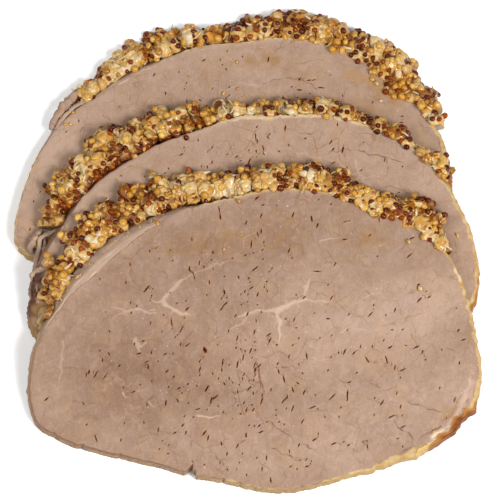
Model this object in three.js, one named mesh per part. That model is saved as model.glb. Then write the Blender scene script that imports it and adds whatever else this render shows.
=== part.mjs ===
// Three slices of roast beef with a whole-grain mustard coat, laid over one another like roof tiles.
// Millimetres, +Z up, +Y towards the back. The back slice lies flat; each next slice starts nearer
// the front, lies on the one behind it and bends down until its front edge meets the same surface.
// Every slice is one closed slab of meat, and its coat is a second closed solid along the back rim.
import * as THREE from "three";

const DEG = Math.PI / 180;

// Driving dimensions.
const THICKNESS = 5; // of one slice
const GAP = 0.6; // between a slice and what lies on it
const SIDE_GAP = 0.4; // between a slice's rim and its own coat
const EDGE_BEVEL = 0.5; // how far the underside reaches past the cut face all round
const REST_REACH = 2.5; // a slice stays level this far past the edge that carries it
const BEND_REACH = 23; // and comes down to the table over this distance
const COAT_CROWN = 1.3; // how far the coat stands above the cut face
const COAT_LUMP = 0.6; // height of the lumps in the coat
const COAT_END = 1.2; // width to which the coat narrows at both ends
const DOME_POWER = 2.6; // 2 would make the coat's section a quarter ellipse; more squares it off

// Slight waviness of each outline: height, and waves in a full turn.
const OUTLINE_WAVES = [
  { height: 0.35, count: 7 },
  { height: 0.25, count: 11 },
];

// Lumps of the coat where two waves meet: radians per turn along it, and across its width.
const LUMP_WAVES = [
  { along: 23, across: 5 },
  { along: 37, across: -4 },
];

// Outline of the cut face as [bearing in degrees, distance from the centre].
// Bearing 0 is the right flank, 90 the back, 180 the left flank and 270 the front.
const ROAST_OUTLINE = [
  [0, 63.2], [26, 57.6], [58, 47.6], [88, 41], [118, 40.4], [146, 45.6], [171, 55], [190, 63.4],
  [201, 65.6], [211, 57.8], [222, 49.4], [240, 42.2], [270, 41.9], [302, 46.2], [318, 52.2], [332, 60],
  [345, 64.4],
];

// centre: of the cut face. bevel: where the rim slopes out further, by how much and how widely.
// reach and lip: the coat's outer edge, and how far it lies over the cut face, as [bearing, distance].
const SLICES = [
  {
    name: "back",
    centre: [-5, 25.8],
    wave: 0.6,
    bevel: { at: 142, by: 3, spread: 28 },
    reach: [
      [13, 3], [24, 7], [37, 10], [48, 9.2], [58, 10.2], [70, 11.2],
      [84, 9.8], [98, 7], [109, 9.2], [121, 11.6], [137, 8.2], [148, 6.6], [156, 3],
    ],
    lip: [[13, 1], [27, 4.2], [36, 3.2], [52, 1.6], [70, 0.6], [90, 0], [156, 0]],
  },
  {
    name: "middle",
    centre: [1, -0.4],
    wave: 2.3,
    bevel: { at: 162, by: 2.4, spread: 32 },
    reach: [
      [21, 2], [28, 5.8], [40, 4.8], [52, 4], [66, 6.4], [90, 5],
      [105, 7.8], [122, 11], [141, 13.4], [158, 11.8], [173, 7.5],
    ],
    lip: [[21, 0.8], [40, 1.2], [66, 1], [90, 0], [173, 0]],
  },
  {
    name: "front",
    centre: [1, -25.9],
    wave: 4.4,
    bevel: { at: 148, by: 4.6, spread: 30 },
    reach: [
      [23, 2], [36, 9.6], [50, 5], [66, 8.8], [80, 8], [96, 8.8],
      [115, 12], [131, 14.4], [146, 15], [160, 11], [175, 5],
    ],
    lip: [[23, 0.4], [36, 2], [46, 3.4], [60, 1.4], [72, 0.4], [90, 0], [175, 0]],
  },
];

const SLICE_SEGMENTS = 72;
const DRAPED_RINGS = [0.13, 0.26, 0.39, 0.51, 0.62, 0.72, 0.82, 0.91, 1];
const FLAT_RINGS = [0.55, 1];
const COAT_SECTIONS = 60;
const COAT_DOME_STEPS = [0, 0.22, 0.45, 0.66, 0.84, 0.95, 1]; // across the coat, as a share of its width

const MEAT_MATERIAL = { color: 0xb4937c, roughness: 0.55, metalness: 0 };
const COAT_MATERIAL = { color: 0xb08a5a, roughness: 0.5, metalness: 0 };

const smoothStep = (t) => {
  const x = THREE.MathUtils.clamp(t, 0, 1);
  return x * x * (3 - 2 * x);
};

// Signed difference between two bearings, from -180 to 180 degrees.
const bearingFrom = (bearing, at) => THREE.MathUtils.euclideanModulo(bearing - at + 180, 360) - 180;

// Smooth closed curve through [bearing, value] knots: a cubic between neighbours, with each knot's
// slope taken from the knots on either side of it.
function aroundKnots(knots, bearing) {
  const count = knots.length;
  const angle = THREE.MathUtils.euclideanModulo(bearing, 360);
  const knot = (i) => {
    const [at, value] = knots[THREE.MathUtils.euclideanModulo(i, count)];
    return [at + 360 * Math.floor(i / count), value];
  };
  let i = count - 1;
  while (knot(i)[0] > angle) i--;
  const [before, start, end, after] = [i - 1, i, i + 1, i + 2].map(knot);
  const width = end[0] - start[0];
  const t = (angle - start[0]) / width;
  const startSlope = ((end[1] - before[1]) / (end[0] - before[0])) * width;
  const endSlope = ((after[1] - start[1]) / (after[0] - start[0])) * width;
  const eased = smoothStep(t);
  return (
    start[1] * (1 - eased) + end[1] * eased +
    (t ** 3 - 2 * t ** 2 + t) * startSlope + (t ** 3 - t ** 2) * endSlope
  );
}

// Value at a bearing between the first and last knot, eased from each knot to the next.
function alongKnots(knots, bearing) {
  const next = knots.findIndex(([at]) => at > bearing);
  if (next === -1) return knots.at(-1)[1];
  if (next === 0) return knots[0][1];
  const [[from, a], [to, b]] = [knots[next - 1], knots[next]];
  return a + (b - a) * smoothStep((bearing - from) / (to - from));
}

// Radius of the cut face: the roast's outline with a slight waviness of each slice's own.
function cutRadius(slice, bearing) {
  const radius = aroundKnots(ROAST_OUTLINE, bearing);
  return OUTLINE_WAVES.reduce(
    (sum, { height, count }) => sum + height * Math.sin(count * bearing * DEG + slice.wave),
    radius,
  );
}

// Radius of the underside, which the sloping rim makes wider than the cut face.
function rimRadius(slice, bearing) {
  const { at, by, spread } = slice.bevel;
  const share = Math.exp(-((bearingFrom(bearing, at) / spread) ** 2));
  return cutRadius(slice, bearing) + EDGE_BEVEL + by * share;
}

// Height of a slice's underside over the table at x, y: it lies on every slice behind it, and
// past the edge of each one it eases down by what that slice had raised it.
function underside(level, x, y) {
  return SLICES.slice(0, level).reduce((height, below) => {
    const dx = x - below.centre[0];
    const dy = y - below.centre[1];
    const past = Math.hypot(dx, dy) - rimRadius(below, Math.atan2(dy, dx) / DEG);
    return (height + THICKNESS + GAP) * (1 - smoothStep((past - REST_REACH) / BEND_REACH));
  }, 0);
}

// Point of a slice at a bearing and a distance from its centre, at a height over its underside.
function slicePoint(slice, level, bearing, radius, rise) {
  const x = slice.centre[0] + radius * Math.cos(bearing * DEG);
  const y = slice.centre[1] + radius * Math.sin(bearing * DEG);
  return [x, y, underside(level, x, y) + rise];
}

function geometryFrom(points, triangles) {
  const geometry = new THREE.BufferGeometry();
  geometry.setAttribute("position", new THREE.Float32BufferAttribute(points.flat(), 3));
  geometry.setIndex(triangles.flat());
  geometry.computeVertexNormals();
  return geometry;
}

// Two triangles between each pair of neighbouring columns of two closed rows of points.
function band(rowA, rowB, columns) {
  const faces = [];
  for (let i = 0; i < columns; i++) {
    const j = (i + 1) % columns;
    faces.push([rowA + i, rowA + j, rowB + j], [rowA + i, rowB + j, rowB + i]);
  }
  return faces;
}

// A slab from the centre of the cut face out to its edge, down the sloping rim, and back under.
function sliceGeometry(slice, level) {
  const rings = level === 0 ? FLAT_RINGS : DRAPED_RINGS;
  const rows = [
    ...rings.map((share) => ({ share, radius: cutRadius, rise: THICKNESS })),
    ...rings.toReversed().map((share) => ({ share, radius: rimRadius, rise: 0 })),
  ];
  const points = [slicePoint(slice, level, 0, 0, THICKNESS)];
  for (const { share, radius, rise } of rows)
    for (let i = 0; i < SLICE_SEGMENTS; i++) {
      const bearing = (i * 360) / SLICE_SEGMENTS;
      points.push(slicePoint(slice, level, bearing, share * radius(slice, bearing), rise));
    }
  points.push(slicePoint(slice, level, 0, 0, 0));

  const last = points.length - 1;
  const lastRow = last - SLICE_SEGMENTS;
  const triangles = [];
  for (let i = 0; i < SLICE_SEGMENTS; i++) {
    const j = (i + 1) % SLICE_SEGMENTS;
    triangles.push([0, 1 + i, 1 + j], [last, lastRow + j, lastRow + i]);
  }
  for (let row = 1; row < rows.length; row++) {
    const inner = 1 + (row - 1) * SLICE_SEGMENTS;
    triangles.push(...band(inner + SLICE_SEGMENTS, inner, SLICE_SEGMENTS));
  }
  return geometryFrom(points, triangles);
}

// Relief of the coat at a bearing and a share of its width, from -1 to 1.
function lumps(slice, bearing, share) {
  const heights = LUMP_WAVES.map(({ along, across }) =>
    Math.sin(along * bearing * DEG + across * share + slice.wave),
  );
  return heights.reduce((sum, height) => sum + height) / heights.length;
}

// The coat as cross-sections along the back rim. Each starts at the edge of the cut face, goes a
// little way over it, comes down outside in a lumpy dome and returns under and up the sloping rim.
function coatGeometry(slice, level) {
  const start = slice.reach[0][0];
  const end = slice.reach.at(-1)[0];
  const columns = COAT_DOME_STEPS.length + 3;
  const points = [];
  for (let row = 0; row <= COAT_SECTIONS; row++) {
    const bearing = start + ((end - start) * row) / COAT_SECTIONS;
    const cut = cutRadius(slice, bearing) + SIDE_GAP;
    const foot = rimRadius(slice, bearing) + SIDE_GAP;
    const lip = cut - SIDE_GAP - alongKnots(slice.lip, bearing);
    const outside = Math.max(cut + alongKnots(slice.reach, bearing), foot + COAT_END);
    const section = [
      [cut, THICKNESS + SIDE_GAP],
      [lip, THICKNESS + SIDE_GAP],
    ];
    for (const share of COAT_DOME_STEPS) {
      const relief = COAT_LUMP * lumps(slice, bearing, share) * Math.sin(Math.PI * share);
      const height = (THICKNESS + COAT_CROWN) * Math.sqrt(1 - share ** DOME_POWER);
      section.push([lip + (outside - lip) * share + relief, Math.max(height + relief, 0)]);
    }
    section.push([foot, 0]);
    for (const [radius, rise] of section) points.push(slicePoint(slice, level, bearing, radius, rise));
  }
  const triangles = [];
  for (let row = 0; row < COAT_SECTIONS; row++)
    triangles.push(...band(row * columns, (row + 1) * columns, columns));
  const lastRow = COAT_SECTIONS * columns;
  for (let i = 1; i < columns - 1; i++)
    triangles.push([0, i, i + 1].reverse(), [lastRow, lastRow + i, lastRow + i + 1]);
  return geometryFrom(points, triangles);
}

function named(name, geometry, look) {
  const mesh = new THREE.Mesh(geometry, new THREE.MeshStandardMaterial(look));
  mesh.name = name;
  return mesh;
}

const roast = new THREE.Group();
SLICES.forEach((slice, level) => {
  roast.add(named(`slice_${slice.name}`, sliceGeometry(slice, level), MEAT_MATERIAL));
  roast.add(named(`seed_coat_${slice.name}`, coatGeometry(slice, level), COAT_MATERIAL));
});

// The origin is the middle of the underside of the whole.
const box = new THREE.Box3().setFromObject(roast);
const middle = box.getCenter(new THREE.Vector3());
roast.position.set(-middle.x, -middle.y, -box.min.z);

export default roast;
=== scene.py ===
import bpy
import numpy as np
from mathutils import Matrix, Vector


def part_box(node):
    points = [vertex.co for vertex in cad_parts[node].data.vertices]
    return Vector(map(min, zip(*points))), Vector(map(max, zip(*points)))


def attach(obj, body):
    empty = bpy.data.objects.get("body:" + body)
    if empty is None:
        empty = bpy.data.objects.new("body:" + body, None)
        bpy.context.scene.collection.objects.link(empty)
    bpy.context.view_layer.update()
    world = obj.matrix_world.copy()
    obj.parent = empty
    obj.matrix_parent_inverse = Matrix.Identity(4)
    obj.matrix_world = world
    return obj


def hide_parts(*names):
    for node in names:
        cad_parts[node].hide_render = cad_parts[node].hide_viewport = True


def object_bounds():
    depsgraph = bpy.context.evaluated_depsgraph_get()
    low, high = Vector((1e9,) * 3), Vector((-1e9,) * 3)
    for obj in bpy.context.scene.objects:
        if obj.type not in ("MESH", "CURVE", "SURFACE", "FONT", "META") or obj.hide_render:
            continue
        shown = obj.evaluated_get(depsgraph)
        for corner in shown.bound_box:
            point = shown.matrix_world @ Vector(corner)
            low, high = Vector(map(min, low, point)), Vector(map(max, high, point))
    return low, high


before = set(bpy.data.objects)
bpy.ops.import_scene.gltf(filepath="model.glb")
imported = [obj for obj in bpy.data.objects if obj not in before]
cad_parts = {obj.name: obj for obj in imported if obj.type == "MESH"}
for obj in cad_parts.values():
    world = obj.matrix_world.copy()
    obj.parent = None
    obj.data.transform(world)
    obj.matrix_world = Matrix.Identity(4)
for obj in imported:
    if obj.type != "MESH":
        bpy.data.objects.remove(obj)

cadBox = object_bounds()
mm = 0.001          # shapes are worked out in millimetres and put into the meshes in metres
boxMargin = 0.02    # millimetres kept clear inside the whole's box


# ---- the roast and its slices

roast = {
    "thickness": 5.0,
    "gap": 0.6,            # between a slice and what lies on it
    "edgeBevel": 0.5,      # how far the underside reaches past the cut face
    "restReach": 2.5,      # level this far past the edge below
    "bendReach": 23.0,     # then down to the table over this distance
    "outline": [           # the cut face's radius at a few bearings
        (0, 63.2), (26, 57.6), (58, 47.6), (88, 41), (118, 40.4), (146, 45.6), (171, 55), (190, 63.4), (201, 65.6),
        (211, 57.8), (222, 49.4), (240, 42.2), (270, 41.9), (302, 46.2), (318, 52.2), (332, 60), (345, 64.4)],
    "waves": [(0.35, 7), (0.25, 11)],   # height and count round the outline
}

# bevel is (bearing, extra reach, spread); reach is the coat's outer edge beyond the cut face and
# start is where the coat begins, less than nothing where it lies over the face
slices = [
    {"name": "back", "centre": (-5, 25.8), "wave": 0.6, "bevel": (142, 3, 28),
     "reach": [
        (13, 3), (24, 7), (37, 10), (48, 9.2), (58, 10.2), (70, 11.2), (84, 9.8), (98, 7), (109, 9.2), (121, 11.6),
        (137, 8.2), (148, 6.6), (156, 3)],
     "start": [
        (13, -0.8), (20, -1.6), (26, -5.6), (34, -3.8), (47, -1.7), (60, -1), (79, 0), (102, 0.2), (121, 1.8),
        (135, 1), (156, 0.6)]},
    {"name": "middle", "centre": (1, -0.4), "wave": 2.3, "bevel": (162, 2.4, 32),
     "reach": [
        (21, 2), (26, 5.6), (29, 4.6), (32, 1.4), (34.5, 1.4), (38, 4.2), (44, 4.4), (52, 4), (66, 6.4), (80, 5.7),
        (91, 4.9), (99, 5.8), (105, 7.8), (122, 11), (141, 13.4), (158, 11.8), (173, 7.5)],
     "start": [
        (21, -0.4), (28, -0.6), (32, 0.5), (35, 0.5), (39, -0.9), (44, -0.5), (54, 0.3), (85, 0.5), (102, 0.6),
        (123, 0.5), (135, 0.5), (153, 0.4), (173, 0.5)]},
    {"name": "front", "centre": (1, -25.9), "wave": 4.4, "bevel": (148, 4.6, 30),
     "reach": [
        (23, 2), (36, 9.6), (50, 5), (66, 8.8), (80, 8), (96, 8.8), (115, 12), (131, 14.4), (146, 15.4),
        (151, 13.4), (155, 11), (160, 11.2), (163, 9.6), (168, 8), (171.5, 5.2), (175, 3)],
     "start": [
        (23, -0.4), (37, -2.2), (45, -4.2), (54, -2.1), (69, -0.3), (82, -0.3), (92, 0.2), (104, 1.1), (117, 1.8),
        (135, 2.4), (142, 3), (149, 3.6), (155, 4.2), (160, 4.2), (165, 2.8), (169, 1.6), (175, 1)]},
]


# t from 0 to 1 with soft ends: three times its square less twice its cube
def smooth(t):
    t = np.clip(t, 0, 1)
    return t * t * (3 - 2 * t)


# smooth closed curve through (bearing, value) knots: a cubic between neighbours
def aroundKnots(knots, bearing):
    at, value = np.array(knots, float).T
    at = np.concatenate([at[-1:] - 360, at, at[:2] + 360])
    value = np.concatenate([value[-1:], value, value[:2]])
    angle = np.mod(bearing, 360.0)
    i = np.clip(np.searchsorted(at, angle, side="right") - 1, 1, len(at) - 3)
    width = at[i + 1] - at[i]
    t = (angle - at[i]) / width
    startSlope = (value[i + 1] - value[i - 1]) / (at[i + 1] - at[i - 1]) * width
    endSlope = (value[i + 2] - value[i]) / (at[i + 2] - at[i]) * width
    eased = smooth(t)
    return (value[i] * (1 - eased) + value[i + 1] * eased
            + (t**3 - 2 * t**2 + t) * startSlope + (t**3 - t**2) * endSlope)


# value at a bearing, eased from each knot to the next
def alongKnots(knots, bearing):
    at, value = np.array(knots, float).T
    bearing = np.clip(bearing, at[0], at[-1])
    i = np.clip(np.searchsorted(at, bearing, side="right") - 1, 0, len(at) - 2)
    return value[i] + (value[i + 1] - value[i]) * smooth((bearing - at[i]) / (at[i + 1] - at[i]))


# degrees between two bearings, from -180 to 180
def turnFrom(bearing, at):
    return np.mod(bearing - at + 180, 360) - 180


# 1 at one bearing, falling off like a bell on both sides of it
def bell(bearing, at, spread):
    return np.exp(-(turnFrom(bearing, at) / spread) ** 2)


# radius times the bearing's cosine and sine
def polar(radius, bearing):
    return radius * np.cos(np.radians(bearing)), radius * np.sin(np.radians(bearing))


# the same, counted from the middle of a slice
def fromCentre(cut, radius, bearing):
    dx, dy = polar(radius, bearing)
    return cut["centre"][0] + dx, cut["centre"][1] + dy


# bearing and distance of a place from the middle of a slice
def seenFrom(cut, x, y):
    dx, dy = x - cut["centre"][0], y - cut["centre"][1]
    return np.degrees(np.arctan2(dy, dx)), np.hypot(dx, dy)


# radius of the cut face: the outline and two rows of shallow waves
def cutRadius(cut, bearing):
    radius = aroundKnots(roast["outline"], bearing)
    for height, count in roast["waves"]:
        radius = radius + height * np.sin(count * np.radians(bearing) + cut["wave"])
    return radius


# radius of the underside: the cut face, an even bevel, and a bell-shaped bulge at the slope
def rimRadius(cut, bearing):
    at, by, spread = cut["bevel"]
    return cutRadius(cut, bearing) + roast["edgeBevel"] + by * bell(bearing, at, spread)


# height of a slice's underside: it lies on each slice behind and eases down past that one's edge
def underside(level, x, y):
    height = np.zeros(np.shape(x))
    for below in slices[:level]:
        bearing, away = seenFrom(below, x, y)
        ease = smooth((away - rimRadius(below, bearing) - roast["restReach"]) / roast["bendReach"])
        height = (height + roast["thickness"] + roast["gap"]) * (1 - ease)
    return height


# the frame's origin is the middle of the whole, so the plan is moved to where the back slice is
def planShift():
    turn = np.arange(0, 360, 5.0)
    x, y = fromCentre(slices[0], rimRadius(slices[0], turn), turn)
    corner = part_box("slice_back")[0]
    return np.array([corner.x / mm - x.min(), corner.y / mm - y.min(), 0.0])


shift = planShift()
boxLow, boxHigh = [np.array([c.x, c.y, c.z]) / mm - shift for c in cadBox]
print("plan shift in mm:", shift.round(3))


# ---- fields and meshes

# smooth random field of about unit height: plane waves in random directions, each about size long
def waves(x, y, size, seed):
    count = 22
    draw = np.random.default_rng(seed)
    angle = draw.uniform(0, 2 * np.pi, count)
    pace = 2 * np.pi / size * draw.uniform(0.65, 1.5, count)
    phase = draw.uniform(0, 2 * np.pi, count)
    field = np.zeros(np.broadcast(x, y).shape)
    for a, k, p in zip(angle, pace, phase):
        field = field + np.sin(k * (x * np.cos(a) + y * np.sin(a)) + p)
    return field * np.sqrt(2 / count)


# several such fields added up, each (height, size, seed)
def manyWaves(x, y, *rows):
    return sum(height * waves(x, y, size, seed) for height, size, seed in rows)


# values side by side, so that the last axis runs over them
def together(*parts):
    return np.stack(np.broadcast_arrays(*parts), -1)


# way from each point to the nearest place on a broken line
def lineWay(x, y, points):
    away = np.full(np.shape(x), 1e9)
    way = np.zeros(np.shape(x) + (2,))
    points = np.array(points, float)
    for (ax, ay), (bx, by) in zip(points[:-1], points[1:]):
        length = (bx - ax) ** 2 + (by - ay) ** 2
        t = np.clip(((x - ax) * (bx - ax) + (y - ay) * (by - ay)) / length, 0, 1)
        here = together(x - ax - t * (bx - ax), y - ay - t * (by - ay))
        size = np.linalg.norm(here, axis=-1)
        way = np.where((size < away)[..., None], here, way)
        away = np.minimum(away, size)
    return way


# smooth path through a few points, as many steps as asked: a cubic between neighbours
def throughPoints(points, count):
    points = np.array(points, float)
    padded = np.concatenate([2 * points[:1] - points[1:2], points, 2 * points[-1:] - points[-2:-1]])
    t = np.linspace(0, len(points) - 1, count)
    i = np.minimum(t.astype(int), len(points) - 2)
    f = (t - i)[:, None]
    a, b, c, d = padded[i], padded[i + 1], padded[i + 2], padded[i + 3]
    return 0.5 * (2 * b + (c - a) * f + (2 * a - 5 * b + 4 * c - d) * f**2 + (3 * b - a - 3 * c + d) * f**3)


# vectors divided by their lengths
def unit(vectors):
    return vectors / np.linalg.norm(vectors, axis=-1, keepdims=True)


# a mesh from arrays of points in plan millimetres, quads and triangles, kept just inside the whole's box
def makePiece(name, points, quads, triangles=np.zeros((0, 3), int), fields={}, boxed=True):
    points = np.clip(points, boxLow + boxMargin, boxHigh - boxMargin) if boxed else points
    corners = np.concatenate([np.ravel(quads), np.ravel(triangles)]).astype(np.int32)
    sizes = np.concatenate([np.full(len(quads), 4), np.full(len(triangles), 3)])
    starts = np.concatenate([[0], np.cumsum(sizes)[:-1]]).astype(np.int32)
    mesh = bpy.data.meshes.new(name)
    mesh.vertices.add(len(points))
    mesh.vertices.foreach_set("co", ((points + shift) * mm).astype(np.float32).ravel())
    mesh.loops.add(len(corners))
    mesh.loops.foreach_set("vertex_index", corners)
    mesh.polygons.add(len(sizes))
    mesh.polygons.foreach_set("loop_start", starts)
    mesh.polygons.foreach_set("use_smooth", np.ones(len(sizes), bool))
    mesh.update(calc_edges=True)
    for label, values in fields.items():
        kind, key = ("FLOAT_VECTOR", "vector") if values.ndim == 2 else ("FLOAT", "value")
        layer = mesh.attributes.new(label, kind, "POINT")
        layer.data.foreach_set(key, values.astype(np.float32).ravel())
    piece = bpy.data.objects.new(name, mesh)
    bpy.context.scene.collection.objects.link(piece)
    return piece


# the piece rides the body of the whole, and stands in for a solid where one is named
def settle(piece, solid=None):
    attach(piece, "root")
    if solid:
        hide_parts(solid)
    print(piece.name, len(piece.data.vertices), "points")
    return piece


# quads between neighbouring points of a grid of rows; closed joins the last column to the first
def gridQuads(rows, columns, closed=False):
    i, j = np.meshgrid(np.arange(rows - 1), np.arange(columns if closed else columns - 1), indexing="ij")
    k = (j + 1) % columns
    return together(i * columns + j, i * columns + k, (i + 1) * columns + k, (i + 1) * columns + j).reshape(-1, 4)


# triangles from each neighbouring pair of a ring of points to one point
def ringFan(ring, point):
    return together(ring, np.roll(ring, -1), point)


# ---- meat

meat = {
    "cells": 272,            # across the cut face, a third to half a millimetre each
    "wallRows": 8,
    "undersideRings": 9,
    "lumpy": 0.05,           # height of the broad unevenness of the cut
    "pulled": 0.018,         # height of the bundles of fibres
    "ragged": 0.09,          # how far the edge wanders
    "raggedLength": (9, 2.6),    # of its slow waves and of its crumbs
    "askew": 0.35,           # how far a stretch between two nicks runs out of true
    "edgeDrop": 0.28,        # of the face's very edge
    "poreDepth": 0.05,
    "crackDepth": 0.06,
    "veinRise": 0.07,
    "rindRise": 0.09,
    "slitLength": (0.3, 0.85),   # half the shortest, and what the longest has more
    "slitWidth": (0.15, 0.11),
    "slitApart": 1.2,
    "slitReach": 0.94,           # share of the way to the edge that has slits
    "slitChance": (0.2, 0.6, 0.14),   # anywhere, more in the heart, more or less in broad waves
    "slitLean": (68, 26, 20),    # at the left, less at the right, and the spread, in degrees
    "hole": (-13.5, -5.0, 0.75, 0.5, 120, 1.0),   # the one round hole of the front slice, as a slit
    "lineTaper": (0.3, 3.5),     # share of its width that a line's end keeps, and how far it thins over
    "bulge": 0.12,               # of the wall, in its own width
    "footRound": (0.3, 0.07),    # how far the wall's foot draws in, and over what share of its height
    "frayed": 0.22,              # how torn the wall is at the middle slice's left
    # painted shade and juice stain on the face by the next slice's coat: how far they reach, and how strong
    "juiceAndShadeReach": 3.4,            # from the next coat
    "juiceAndShadeStain": 0.25,
    "paintedShadeByCoat": 0.35,
}
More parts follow.
